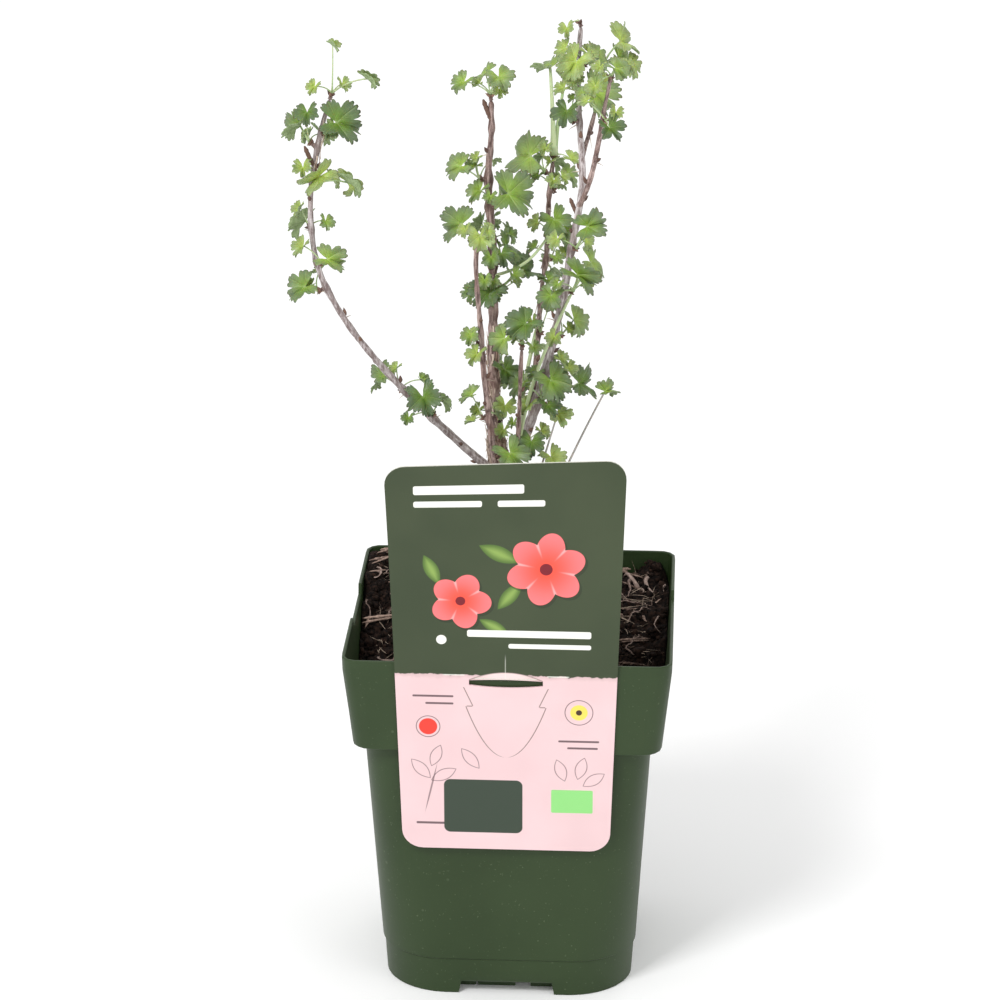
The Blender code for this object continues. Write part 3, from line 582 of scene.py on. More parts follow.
def inside_wall(places, room):
    """The places' across and back, brought within this room of the collar's inner face at their height:
    a square with round corners."""
    reach = collar_inner(np.clip(places[..., 2:], SOIL_LOW, POT_HEIGHT)) - room
    flat = np.clip(places[..., :2], -reach, reach)
    middle = np.sign(flat) * np.minimum(np.abs(flat), reach - SOIL_CORNER)
    off = flat - middle
    far = np.linalg.norm(off, axis=-1, keepdims=True)
    return middle + off * np.minimum(SOIL_CORNER / np.maximum(far, 1e-9), 1)


def soil_height(flat):
    """The bed's height over flat places: level near the stem, lower at the rim and the front, lumpy."""
    edge = np.abs(flat).max(axis=-1) / RIM_HALF
    front = smooth((flat[..., 1] - SOIL_FROM) / (SOIL_TO - SOIL_FROM))
    calm = smooth((np.linalg.norm(flat, axis=-1) - SOIL_FLAT) / SOIL_FLAT)
    lumps = sum(noise(flat, size * MM, seed, layers) * high * MM for size, seed, layers, high in LUMP_SIZES)
    piles = sum(high * MM * np.exp(-((flat - np.array((x, y)) * MM) ** 2).sum(axis=-1) / (wide * MM) ** 2)
                for x, y, wide, high in PILES)
    height = SOIL_TOP + calm * (lumps + piles - SOIL_DROP * front) - SOIL_RIM_DROP * edge ** 4
    return np.minimum(height, POT_HEIGHT - MM)


print("compost at the stem:", round(float(soil_height(np.zeros(2))) / MM, 1), "mm up")

# %% Compost solid


def soil_bed():
    """Points and faces of the bed, with its side walls carried down to the pot's floor."""
    line = np.linspace(-1, 1, SOIL_GRID)
    square = np.stack(np.meshgrid(line, line), axis=-1)
    shell = np.abs(square).max(axis=-1, keepdims=True)
    border = pull_in(square / np.maximum(shell, 1e-6), 1.0, SOIL_ARC) * shell
    reach = collar_inner(SOIL_TOP - 3 * MM) - GAP - SOIL_CLEAR
    height = soil_height(border * reach)[..., None]
    top = np.concatenate([border * (collar_inner(height) - SOIL_CLEAR), height], axis=-1).reshape(-1, 3)
    faces = grid_faces(SOIL_GRID, SOIL_GRID)
    index = np.arange(SOIL_GRID * SOIL_GRID).reshape(SOIL_GRID, SOIL_GRID)
    loop = np.concatenate([index[0, :-1], index[:-1, -1], index[-1, :0:-1], index[:0:-1, 0]])
    walls = []
    for half, corner, height in ((collar_inner(SOIL_FOOT), 6.5 * MM, SOIL_FOOT),
                                 (BODY_HALF - POT_WALL, 10 * MM, SOIL_FOOT - 0.4 * MM),
                                 (BASE_HALF - POT_WALL, 24 * MM, FLOOR_TOP + GAP)):
        ring = pull_in(square.reshape(-1, 2)[loop] * (half - GAP), half - GAP, corner)
        walls.append(np.concatenate([ring, np.full((len(ring), 1), height)], axis=1))
    columns = np.concatenate([[loop], len(top) + np.arange(3 * len(loop)).reshape(3, -1)])
    after = np.roll(columns, -1, axis=1)
    sides = np.stack([columns[:-1], columns[1:], after[1:], after[:-1]], axis=-1).reshape(-1, 4)
    centre = np.full(len(loop), len(top) + 3 * len(loop))
    fan = np.stack([columns[3], centre, after[3], np.full(len(loop), -1)], axis=-1)
    points = np.concatenate([top, *walls, [[0, 0, FLOOR_TOP + GAP]]])
    return points, np.concatenate([faces, sides, fan])


def compost_material(name, dark, light, scale):
    """Crumbly matter: two colours mixed by its tone and by noise, with a strong fine bump."""
    board = Board(name)
    grain = board.noise(scale, 4)
    share = board.tone() * 0.7 + grain.within(0.35, 0.75) * 0.5 - 0.1
    base = board.mix(share, colour(*dark), colour(*light))
    return board.finish(base, 0.95, grain, strength=0.8, distance=0.5 * MM, Specular_IOR_Level=0.15)


peat = compost_material("peat", (10, 6, 5), (66, 47, 38), 700)
bed = Heap()
bed.add(*soil_bed(), tone=0.1)
compost = bed.build("compost", [peat], ["soil"], "compost")

# %% [markdown]
# Loose grains lie at chance places and turns. A turn about any axis is one short formula, and a heap
# of grains is one shape multiplied by many such turns. Each grain is then moved to the bed's height
# at its place, and what would stick into the pot's wall is drawn back inside.

# %% Scattering
WALL_ROOM, STEM_ROOM = 0.7 * MM, 9.5 * MM
UPWARD = (0.0, 0.0, 1.0)


def rotations(axis, angle):
    """Turns about an axis by Rodrigues' formula: 1 + K sin(angle) + K^2 (1 - cos(angle)), where K is the
    cross product with the axis."""
    cross = np.swapaxes(np.cross(np.atleast_2d(axis)[:, None], np.eye(3)), 1, 2)
    angle = angle[:, None, None]
    return np.eye(3) + np.sin(angle) * cross + (1 - np.cos(angle)) * cross @ cross


def turns(chance, count, tilt):
    """Random rotations: a full turn about Z after a tilt of about this many radians."""
    spin, lean = chance.uniform(0, math.tau, count), chance.normal(0, tilt, count)
    way = chance.uniform(0, math.tau, count)
    axis = np.stack([np.cos(way), np.sin(way), np.zeros(count)], axis=-1)
    return rotations(axis, lean) @ rotations(UPWARD, spin)


def scatter_places(chance, count, keep):
    """Random places on the bed, clear of the stem and a little inside the wall."""
    reach = collar_inner(SOIL_TOP) - keep
    flat = chance.uniform(-reach, reach, (count * 2, 2))
    flat = flat[np.linalg.norm(flat, axis=1) > STEM_ROOM][:count]
    return flat, soil_height(flat)


def scatter(heap, shapes, faces, flat, height, spin, tones):
    """Adds many shapes (count, points, 3) at their places on the bed."""
    moved = np.einsum("nij,nkj->nki", spin, shapes)
    moved += np.concatenate([flat, height[:, None]], axis=1)[:, None, :]
    count, size = shapes.shape[:2]
    moved[..., :2] = inside_wall(moved, WALL_ROOM)
    every = np.where(faces < 0, -1, faces[None] + (np.arange(count) * size)[:, None, None]).reshape(-1, 4)
    heap.add(moved.reshape(-1, 3), every, tone=np.repeat(tones, size))


print("chips and crumbs keep", round(STEM_ROOM / MM, 1), "mm from the stem's middle")

# %% Crumb and strip shapes


def crumb_shapes(chance, count):
    """Lumps: a five-sided ball of three rings, each point pushed in or out."""
    rise = np.array([-0.8, -0.1, 0.6])
    wide = np.sqrt(1 - rise ** 2)
    angle = np.arange(5) / 5 * math.tau
    rings = np.stack([wide[:, None] * np.cos(angle), wide[:, None] * np.sin(angle),
                      np.repeat(rise[:, None], 5, axis=1)], axis=-1)
    points, faces = closed_tube(rings)
    size = chance.gamma(2.4, 0.34, count)[:, None, None] * MM
    squash = chance.uniform(0.55, 1.2, (count, 1, 3))
    return points * size * squash * chance.uniform(0.75, 1.25, (count, len(points), 1)), faces


def strip_shapes(chance, count, length, width, thick, bend, rows, sides):
    """Chips and fibres: a flat tapering strip along X, bowed and a little ragged."""
    along = np.linspace(-1, 1, rows)
    angle = (np.arange(sides) + 0.5) / sides * math.tau
    taper = (1 - np.abs(along) ** 3) * 0.85 + 0.15
    ragged = chance.uniform(0.6, 1.25, (count, rows, 1))
    x = along[None, :, None] * length[:, None, None] * np.ones((1, 1, sides))
    y = np.cos(angle) * taper[None, :, None] * width[:, None, None] * ragged
    z = np.sin(angle) * taper[None, :, None] * thick[:, None, None] * ragged
    bow = (along ** 2)[None, :] * bend[:, None] + chance.normal(0, 1, (count, rows)) * 0.12 * bend[:, None]
    rings = np.stack([x, y + bow[..., None] * 0.7, z - bow[..., None] * 0.4], axis=-1)
    faces = closed_tube(rings[0])[1]
    ends = np.stack([rings[:, 0].mean(axis=1), rings[:, -1].mean(axis=1)], axis=1)
    return np.concatenate([rings.reshape(count, -1, 3), ends], axis=1), faces


print("a crumb has", len(crumb_shapes(np.random.default_rng(0), 1)[1]), "faces")

# %% Crumbs and chance chips
CRUMBS, CHIPS, FIBRES = 4200, 150, 480
COMPOST_SEED = 11
chance = np.random.default_rng(COMPOST_SEED)
crumbs, chips, fibres = Heap(), Heap(), Heap()
flat, height = scatter_places(chance, CRUMBS, 1.2 * MM)
count = len(flat)
shapes, faces = crumb_shapes(chance, count)
spin = turns(chance, count, 1.0)
scatter(crumbs, shapes, faces, flat, height + 0.2 * MM, spin, chance.beta(0.6, 2.4, count))
flat, height = scatter_places(chance, CHIPS, 7 * MM)
count = len(flat)
length = chance.gamma(3.2, 0.9, count) * MM
wide, thick = length * chance.uniform(0.1, 0.26, count), chance.uniform(0.25, 0.7, count) * MM
shapes, faces = strip_shapes(chance, count, length, wide, thick, length * 0.15, 7, 6)
spin = turns(chance, count, 0.4)
scatter(chips, shapes, faces, flat, height + MM, spin, chance.beta(1.1, 3.2, count))
print("scattered", crumbs.count + chips.count, "points")

# %% Chips that the photograph shows, and fibres
PLACED_CHIPS = np.array((  # across, back, up, heading, lift, half length, half width and tone
    (-55.5, 4.0, 1.4, 20, 4, 7.5, 0.9, 0.8), (-55.0, 5.2, 2.0, 15, 2, 6.8, 0.9, 1.0),
    (-54.8, 6.4, 1.6, 24, 6, 7.0, 0.9, 0.6), (-59.5, 3.0, 1.6, 75, 35, 3.0, 0.6, 0.8),
    (-57, 53, 2.5, -40, 25, 5, 0.8, 0.8), (-56, 54, 3.2, -46, 20, 4.5, 0.8, 1.0),
    (-54, 58, 3, 60, 35, 4.5, 0.9, 0.9), (-53, 57, 3.6, 70, 30, 4, 0.7, 0.7),
    (-58, 46, 2, 10, 10, 4.5, 0.8, 0.6), (-57, 44, 2.6, 20, 16, 4.5, 0.6, 0.9),
    (-52, 50, 2, -10, 5, 5, 0.7, 1.0), (-50, 44, 1.5, 5, 0, 4.5, 0.6, 0.8),
    (-58, 34, 1.5, -15, 12, 4, 0.5, 0.9), (42.5, 57, 3, -60, 10, 4, 1.3, 0.6),
    (43.5, 58, 4, -40, 14, 3.4, 1.2, 0.8), (48.5, -2, 1.5, 12, 0, 7, 0.8, 0.5),
    (49, -3.2, 1.2, 8, 2, 6, 0.7, 0.4), (57, 30, 1.8, 50, 15, 4, 0.4, 1.0),
    (-53, 37, 1.5, 30, 5, 4, 0.5, 0.7), (-48, 26, 1.5, 0, 0, 3, 0.5, 1.0),
    (-51, 31, 1.5, -20, 6, 4, 0.5, 0.8),
))
x, y, rise, heading, lift, long, wide, tones = PLACED_CHIPS.T
shapes, faces = strip_shapes(chance, len(x), long * MM, wide * MM, wide * 0.6 * MM, long * 0.1 * MM, 14, 5)
spin = rotations(UPWARD, np.radians(heading)) @ rotations((0, 1, 0), -np.radians(lift))
flat = np.stack([x, y], axis=-1) * MM
scatter(chips, shapes, faces, flat, soil_height(flat) + rise * MM, spin, tones)
flat, height = scatter_places(chance, FIBRES, 6 * MM)
count = len(flat)
length = chance.gamma(3, 1.5, count) * MM
wide, thick = (chance.uniform(0.1, most, count) * MM for most in (0.28, 0.2))
bend = length * chance.uniform(-0.6, 0.6, count)
shapes, faces = strip_shapes(chance, count, length, wide, thick, bend, 9, 3)
spin = turns(chance, count, 0.35)
scatter(fibres, shapes, faces, flat, height + 1.3 * MM, spin, chance.beta(1.6, 1.6, count))
print(len(PLACED_CHIPS), "chips placed by hand,", count, "fibres")

# %% [markdown]
# Thin roots and bark threads lie over the compost: tubes along crooked lines that follow its height.

# %% Roots
ROOTS, ROOT_ROOM, LONGEST_ROOT = 26, 16, 42
PLACED_ROOTS = (  # start across and back, heading, length, thickness
    (54, 51, 235, 12, 1.6), (51, 44, 140, 11, 1.8), (46, 51, 262, 15, 1.5), (60, 49, -80, 29, 0.6),
    (58, 19, -95, 19, 0.6), (44, 12, -20, 16, 0.5), (-61, 19, -85, 18, 0.7), (-61, 34, 10, 12, 0.7),
    (-60, 27, 25, 14, 0.6), (-52, 22, -60, 10, 0.8), (-50, 52, -60, 14, 1.0), (48, 30, 190, 18, 0.6),
    (50, -14, 120, 20, 0.6), (-54, -20, 60, 18, 0.6),
)


def root_line(chance, x, y, heading, length):
    """A crooked line over the bed: its heading drifts and jumps, and it rises and dips."""
    steps = max(8, int(length / 1.2))
    sway = 0.5 * np.sin(np.arange(steps) * 0.9 + x)
    turn = math.radians(heading) + np.cumsum(chance.normal(0, 0.34, steps)) + sway
    step = np.stack([np.cos(turn), np.sin(turn)], axis=1) * length * MM / steps
    flat = np.array([x, y]) * MM + np.cumsum(step, axis=0)
    flat = inside_wall(np.concatenate([flat, soil_height(flat)[:, None]], axis=1), 2.0 * MM)
    rise = np.sin(np.linspace(0, math.pi, steps)) * chance.uniform(0.6, 3.2) * MM
    return fine_line(np.concatenate([flat, (soil_height(flat) + rise + 0.6 * MM)[:, None]], axis=1))


def fine_line(line):
    """The line with its corners smoothed by a short running mean."""
    padded = np.concatenate([line[:1], line, line[-1:]])
    return (padded[:-2] + 2 * padded[1:-1] + padded[2:]) / 4 + np.arange(len(line))[:, None] * 1e-7


roots = Heap()
chance = np.random.default_rng(COMPOST_SEED + 1)
spread = collar_inner(SOIL_TOP) / MM - 8
wanted = list(PLACED_ROOTS) + [(*chance.uniform(-spread, spread, 2), chance.uniform(0, 360),
                                chance.gamma(4, 3.4), chance.gamma(3, 0.2)) for _ in range(ROOTS)]
for x, y, heading, length, thick in wanted:
    if math.hypot(x, y) < ROOT_ROOM:
        continue
    line = root_line(chance, x, y, heading, min(length, LONGEST_ROOT))
    knots = 1 + 0.5 * noise(line, 1.1 * MM, 8, 2)
    radii = 0.5 * thick * MM * (1 - 0.7 * np.linspace(0, 1, len(line))) * knots + 0.06 * MM
    roots.tube(line, radii, 6, chance.uniform(0.2, 1.0))
roots.build("roots", [compost_material("root", (60, 43, 37), (184, 162, 152), 1300)], [], "compost")
crumbs.build("crumbs", [peat], [], "compost")
chips.build("chips", [compost_material("bark chip", (40, 27, 22), (180, 154, 140), 1100)], [], "compost")
fibres.build("fibres", [compost_material("fibre", (78, 60, 50), (188, 170, 152), 1200)], [], "compost")

# %% [markdown]
# ## The card
# A plastic-coated card hangs on the rim: its tongue goes through a slot, over the notch and down
# inside. It is a grid across and up with rounded corners that leans as the collar leans and twists a
# little above the rim. Its flat map holds millimetres divided by 100, for a print drawn to size.

# %% Card sheet
CARD_FOOT, CARD_LENGTH, CARD_THICK = 68 * MM, 169 * MM, 0.8 * MM
CARD_TOP_HALF, CARD_FOOT_HALF, CARD_CORNER = 46 * MM, 41 * MM, 8 * MM
CARD_TWIST, CARD_RIM_SHARE, CARD_GAP = 6.5 * MM, 0.49, 1.3 * GAP
CARD_LEAN = math.atan2(RIM_HALF - COLLAR_HALF, POT_HEIGHT - COLLAR_FOOT)
CARD_COLUMNS, CARD_ROWS, CARD_ARC = 36, 44, 8
SLOT_HALF, SLOT_FOOT, SLOT_TOP, SLOT_STEPS = 14.4 * MM, 140.4 * MM, 143.6 * MM, 17
TONGUE_HALF, TONGUE_FOOT, TONGUE_THICK = 12 * MM, 130 * MM, 0.6 * MM


def card_points(across, up, depth):
    """Places on the card from its own measures: across it, up it, and out of its back face."""
    above = np.maximum(up / CARD_LENGTH - CARD_RIM_SHARE, 0) / (1 - CARD_RIM_SHARE)
    twist = CARD_TWIST * above ** 2 * across / CARD_TOP_HALF
    height = CARD_FOOT + up * math.cos(CARD_LEAN)
    out = COLLAR_HALF + (height - COLLAR_FOOT) * math.tan(CARD_LEAN) + CARD_GAP
    back = twist - out - depth * math.cos(CARD_LEAN)
    return np.stack([across + 0 * back, back, height - depth * math.sin(CARD_LEAN) + 0 * back], axis=-1)


def card_rings():
    """Closed rings round the card from foot to top: front left to right, then back right to left."""
    arc = CARD_CORNER * (1 - np.cos(np.linspace(0, math.pi / 2, CARD_ARC)))
    up = np.concatenate([arc, np.linspace(CARD_CORNER, CARD_LENGTH - CARD_CORNER, CARD_ROWS)[1:-1],
                         CARD_LENGTH - arc[::-1]])
    near_end = np.minimum(up, CARD_LENGTH - up)
    inset = CARD_CORNER - np.sqrt(CARD_CORNER ** 2 - np.maximum(CARD_CORNER - near_end, 0) ** 2)
    half = CARD_FOOT_HALF + (CARD_TOP_HALF - CARD_FOOT_HALF) * up / CARD_LENGTH - inset
    share = np.linspace(-1, 1, CARD_COLUMNS)
    across = half[:, None] * share
    height = np.repeat(up[:, None], CARD_COLUMNS, axis=1)
    front, back = card_points(across, height, CARD_THICK), card_points(across, height, 0.0)
    flat = np.stack([across, height], axis=-1) * 10
    return np.concatenate([front, back[:, ::-1]], axis=1), np.concatenate([flat, flat[:, ::-1]], axis=1)


def tongue_rings():
    """The tongue: a strip from the slot over the notch and down inside the wall, with a soft bend."""
    over = POT_HEIGHT - NOTCH_DEPTH + GAP
    inner = collar_inner(over) - CARD_GAP
    low = collar_inner(TONGUE_FOOT) - CARD_GAP
    path = np.array([(-RIM_HALF - CARD_THICK, over - 2.2 * MM), (-RIM_HALF - 0.3 * MM, over),
                     (-inner, over + 0.1 * MM), (-inner + 0.3 * MM, over - 0.6 * MM),
                     (-low + 0.1 * MM, TONGUE_FOOT)]) + (0.4 * MM, 0)
    ahead = unit(np.gradient(path, axis=0))
    out = np.stack([-ahead[:, 1], ahead[:, 0]], axis=1) * TONGUE_THICK / 2
    low, high = path - out, path + out
    corners = ((-TONGUE_HALF, low), (TONGUE_HALF, low), (TONGUE_HALF, high), (-TONGUE_HALF, high))
    return np.stack([np.insert(side, 0, across, axis=1) for across, side in corners], axis=1)


def slot_rings():
    """Two rings of a plug for the card's slot: flat arcs below and above, in front and behind."""
    arch = np.linspace(-1, 1, SLOT_STEPS)
    low = SLOT_FOOT + 0.9 * MM * arch ** 2
    high = SLOT_TOP - 0.25 * MM + 0.5 * MM * (1 - arch ** 2)
    across, up = np.concatenate([arch, arch[::-1]]) * SLOT_HALF, np.concatenate([low, high[::-1]])
    return np.stack([np.stack([across, np.full_like(across, y), up], axis=1) for y in (-62 * MM, -70 * MM)])


print("the card leans", round(math.degrees(CARD_LEAN), 1), "degrees")

# %% [markdown]
# The print is drawn by arithmetic on the flat map: a mask for each shape is 1 inside and 0 outside.
# The upper field is dark green, the lower one pale pink, and the border between them looks torn. The
# motifs are plain ones of this notebook's own: round coral blossoms, pale bars, rings and dots.

# %% Print marks


def disc(x, y, across, up, radius, soft=0.12):
    """1 within a radius of a point, by the distance from it."""
    dx, dy = x - across, y - up
    return 1 - (dx * dx + dy * dy).maths("SQRT").within(radius - soft, radius + soft)


def bar(x, y, across, up, half_wide, half_high, corner=0.8):
    """1 inside a rounded box: the length of what lies past the box's inner corner is under the radius."""
    dx = ((x - across).maths("ABSOLUTE") - (half_wide - corner)).maths("MAXIMUM", 0.0)
    dy = ((y - up).maths("ABSOLUTE") - (half_high - corner)).maths("MAXIMUM", 0.0)
    return 1 - (dx * dx + dy * dy).maths("SQRT").within(corner - 0.1, corner + 0.1)


def blossom(x, y, across, up, radius, petals, turn):
    """1 inside a flower: the edge's radius swells and shrinks with the angle, once a petal."""
    dx, dy = x - across, y - up
    angle = dy.maths("ARCTAN2", dx)
    wave = ((angle + turn) * (petals / 2)).maths("SINE").maths("ABSOLUTE")
    edge = (wave * 0.3 + 0.7) * radius
    far = (dx * dx + dy * dy).maths("SQRT")
    return 1 - (far - edge).within(-0.15, 0.15), far / radius, wave


def leaf_mark(x, y, across, up, length, width, turn):
    """How far inside a pointed leaf a place lies: its half width is 1 - (share along it) squared."""
    dx, dy = x - across, y - up
    along_it, aside = dx * math.cos(turn) + dy * math.sin(turn), dy * math.cos(turn) - dx * math.sin(turn)
    return (1 - (along_it / length) * (along_it / length)) * width - aside.maths("ABSOLUTE")


print("print marks ready")

# %% Printed picture
SPRIG_LEAVES = ((-2.5, 131, 8.5, 3.2, 2.7), (1.5, 113, 7.5, 2.8, 0.9),  # across, up, length, width, turn
                (-28.5, 124, 7.0, 2.7, 2.0), (-4.5, 99.5, 6.5, 2.4, -0.5))
BLOSSOMS = ((15.5, 124.5, 15.5, 6, 0.2), (-17.5, 110.5, 12.0, 5, 0.7))  # across, up, radius, petals, turn
PALE_BARS = ((-14, 158.5, 21, 1.9), (-22, 152.4, 13, 1.3), (6, 152.4, 9, 1.3), (9, 96.5, 24, 1.5),
             (17, 91.2, 16, 1.0))
PALE_DOT = (-25, 93.5, 2.0)
DARK_BARS = ((-28.5, 68.6, 8, 0.45, 0.4), (-26.0, 65.4, 5.5, 0.45, 0.4), (28.5, 49.6, 8, 0.45, 0.4),
             (30.0, 46.6, 6, 0.45, 0.4), (-28.5, 11.5, 7, 0.5, 0.45))
RINGS, RING_WIDE = ((28.5, 62.5, 5.6), (-30.5, 55.0, 4.8)), 0.32
SPRIG_LINES = ((-29.5, 27.5, 7.5, 0.15, 1.35), (-24.5, 33.5, 5.5, 2.3, 0.5), (-33.5, 36.0, 5.5, 2.3, 2.3),
               (-27.5, 42.0, 5.0, 2.1, 1.2), (21.5, 36.5, 5.0, 2.2, 1.9), (29.5, 37.5, 5.0, 2.2, 1.3),
               (34.5, 32.5, 5.0, 2.2, 0.6), (-14.0, 41.0, 5.5, 2.2, -0.9))
DOTS = (((-30.5, 55.0, 3.6), (228, 64, 52)), ((28.5, 62.5, 3.4), (238, 214, 96)),
        ((28.5, 62.5, 1.2), (70, 52, 40)))
PANELS = (((-9.0, 19.5, 15.5, 12.0, 2.6), (56, 68, 56)), ((26.0, 22.5, 8.2, 5.2, 0.6), (142, 212, 126)))
FIELD_EDGE = 78.2


def printed_fields(board, y, fade):
    """Dark green above pale pink: the border's height is moved by noise, so that it looks torn."""
    torn = y - FIELD_EDGE - (board.noise(260, 3) - 0.5) * 3.2
    green = board.mix(fade.within(0.3, 0.7), colour(56, 67, 45), colour(64, 74, 51))
    pink = board.mix(fade.within(0.3, 0.7), colour(224, 193, 195), colour(231, 201, 203))
    face = board.mix(torn.within(-0.25, 0.25), pink, green)
    shade = torn.within(-2.2, -0.1) * (1 - torn.within(-0.1, 0.2))
    return board.mix(shade * 0.25, face, colour(150, 128, 124))


def printed_flowers(board, x, y, face):
    """Green leaves and two coral blossoms, each blossom over its own soft shadow."""
    for mark in SPRIG_LEAVES:
        inside = leaf_mark(x, y, *mark)
        sprig = board.mix(inside.within(0.0, mark[3]), colour(84, 112, 52), colour(136, 164, 84))
        face = board.mix(inside.within(-0.15, 0.15), face, sprig)
    for across, up, radius, petals, turn in BLOSSOMS:
        shadow, _, _ = blossom(x, y, across + 0.8, up - 1.0, radius * 1.02, petals, turn)
        inside, far, wave = blossom(x, y, across, up, radius, petals, turn)
        coral = board.mix(far.within(0.1, 1.0), colour(246, 84, 66), colour(246, 120, 122))
        coral = board.mix((1 - wave.within(0.0, 0.25)) * far.within(0.25, 0.7), coral, colour(250, 168, 168))
        coral = board.mix(disc(x, y, across, up, radius * 0.16), coral, colour(120, 30, 40))
        face = board.mix(inside, board.mix(shadow * 0.55, face, colour(40, 48, 34)), coral)
    return face


def printed_marks(board, x, y, face):
    """Pale bars on the green, thin dark bars, rings and leaf outlines on the pink, and filled marks."""
    pale = sum(bar(x, y, *mark) for mark in PALE_BARS) + disc(x, y, *PALE_DOT)
    face = board.mix(pale.maths("MINIMUM", 1.0), face, colour(238, 238, 230))
    lines = sum(bar(x, y, *mark) for mark in DARK_BARS)
    for across, up, radius in RINGS:
        lines = lines + disc(x, y, across, up, radius, 0.1) - disc(x, y, across, up, radius - RING_WIDE, 0.1)
    for mark in SPRIG_LINES:
        lines = lines + (1 - leaf_mark(x, y, *mark).maths("ABSOLUTE").within(0.08, 0.3)) * 0.8
    face = board.mix(lines.maths("MINIMUM", 1.0) * 0.85, face, colour(70, 52, 58))
    for mark, paint in DOTS:
        face = board.mix(disc(x, y, *mark), face, colour(*paint))
    for mark, paint in PANELS:
        face = board.mix(bar(x, y, *mark), face, colour(*paint))
    return face


print(len(PALE_BARS) + len(DARK_BARS), "bars,", len(SPRIG_LINES), "leaf outlines")

# %% [markdown]
# The real card is stamped: a tongue-shaped cut with two ears, a small flap bent at the slot and a
# crease above it. These are lines drawn at a distance from a curve, the same way as the print. The
# cut and the flap's edge are drawn dark as painted shadow, and the flap is a lens of painted light
# and shade.

# %% Stamped lines
SLOT_LENS_HALF, SLOT_LINE, SLOT_BULGE = 14.6, 75.9, 3.6
CUT_FOOT, CUT_SHELF, CUT_HALF = 41.8, 64.4, 0.14


def near(wire, place, half, soft):
    """1 where a value lies within a half width of a place, and 0 a little past that."""
    return 1 - (wire - place).maths("ABSOLUTE").within(half, soft)


def stamped_lines(x, y):
    """The tongue-shaped cut: a curve sqrt(height) below its shelf and straight ears above it."""
    wide = x.maths("ABSOLUTE")
    point = ((y - CUT_FOOT) / 21.2).maths("MAXIMUM", 0.0).maths("SQRT") * 15.2
    ears = (y - 65.6) * 0.437 + 13.4
    half = point + (ears - point) * y.within(64.2, 64.6)
    edge = 1 - ((wide - half).maths("ABSOLUTE") - CUT_HALF).within(0.0, 0.16)
    shelf = 1 - ((y - CUT_SHELF).maths("ABSOLUTE") - CUT_HALF).within(0.0, 0.16)
    shelf = shelf * wide.within(13.0, 13.2) * (1 - wide.within(15.2, 15.4))
    return edge.maths("MAXIMUM", shelf) * y.within(41.7, 42.0) * (1 - y.within(72.6, 72.9))


def stamp(board, x, y, face, cut):
    """The face with the bent flap as a lens of painted light and shade, a painted shadow line along its
    rim, the cut drawn dark as painted shadow in its slit, the crease and two nicks.
    """
    wide = x.maths("ABSOLUTE")
    bow = 1 - (wide / SLOT_LENS_HALF) * (wide / SLOT_LENS_HALF)
    above = y - SLOT_LINE - bow * SLOT_BULGE
    lens = (y - 75.8).within(-0.1, 0.1) * (1 - above.within(-0.1, 0.2)) * bow.within(0.0, 0.05)
    # painted light and shade of the bent flap: palest in its middle, darker toward its ends
    flap = board.mix(bow.within(0.0, 1.0), colour(196, 168, 166), colour(232, 208, 206))
    face = board.mix(lens, face, flap)
    # painted shadow: a dark line along the flap's upper edge and in the cut's slit
    flap_edge_shadow = (1 - above.maths("ABSOLUTE").within(0.1, 0.35)) * bow.within(0.0, 0.05)
    face = board.mix(flap_edge_shadow * 0.55 + cut * 0.75, face, colour(92, 84, 74))
    crease = near(x, -0.2, 0.08, 0.3) * y.within(72, 76) * (1 - y.within(84, 88)) * 0.4
    nick = near(y, 78.1, 0.15, 0.35) * wide.within(16.0, 16.3) * (1 - wide.within(24.0, 25.0))
    return board.mix(crease + nick * 0.8, face, colour(226, 226, 216))


print("the flap is", 2 * SLOT_LENS_HALF, "mm wide")

# %% Card finish


def card_print():
    """The printed face, drawn in millimetres from the flat map."""
    board = Board("card print")
    u, v = board.flat()
    x, y = u * 100, v * 100
    fade = board.noise(25, 2)
    # the cut's mask: a groove in the bump, and painted shadow in the colour
    cut = stamped_lines(x, y)
    face = printed_flowers(board, x, y, printed_fields(board, y, fade))
    face = stamp(board, x, y, printed_marks(board, x, y, face), cut)
    grain = board.noise(1500, 2) * 0.3 - cut
    return board.finish(face, fade * 0.12 + 0.34, grain, strength=0.1, distance=0.1 * MM,
                        Specular_IOR_Level=0.3)


def card_core():
    """The card's back and edges: pale coated board with a faint fibre."""
    board = Board("card core")
    fibre = board.noise(900, 3, 0.4)
    base = board.mix(fibre.within(0.3, 0.7), colour(196, 196, 184), colour(214, 212, 202))
    return board.finish(base, 0.5, fibre, strength=0.15, distance=0.1 * MM)


rings, flat = card_rings()
points, faces = closed_tube(rings)
flat = np.concatenate([flat.reshape(-1, 2), [[0, 0], [0, CARD_LENGTH * 10]]])
in_front = (faces[:, :4].clip(0) % (2 * CARD_COLUMNS) < CARD_COLUMNS).all(axis=1) & (faces[:, 3] >= 0)
card_heap = Heap()
card_heap.add(points, faces, slot=np.where(in_front, 0, 1), flat=flat)
card_heap.add(*closed_tube(tongue_rings()), slot=1)
card = card_heap.build("label", [card_print(), card_core()], ["card"], "card", sharp=35)
cut_out(card, [slot_rings()])

# %% [markdown]
# ## Trunk and limbs
# The stump and eight limbs grow by one rule: from its foot, each takes short even steps whose lean is
# read from a table. The same tables made the solids, so the bark lies where they are.

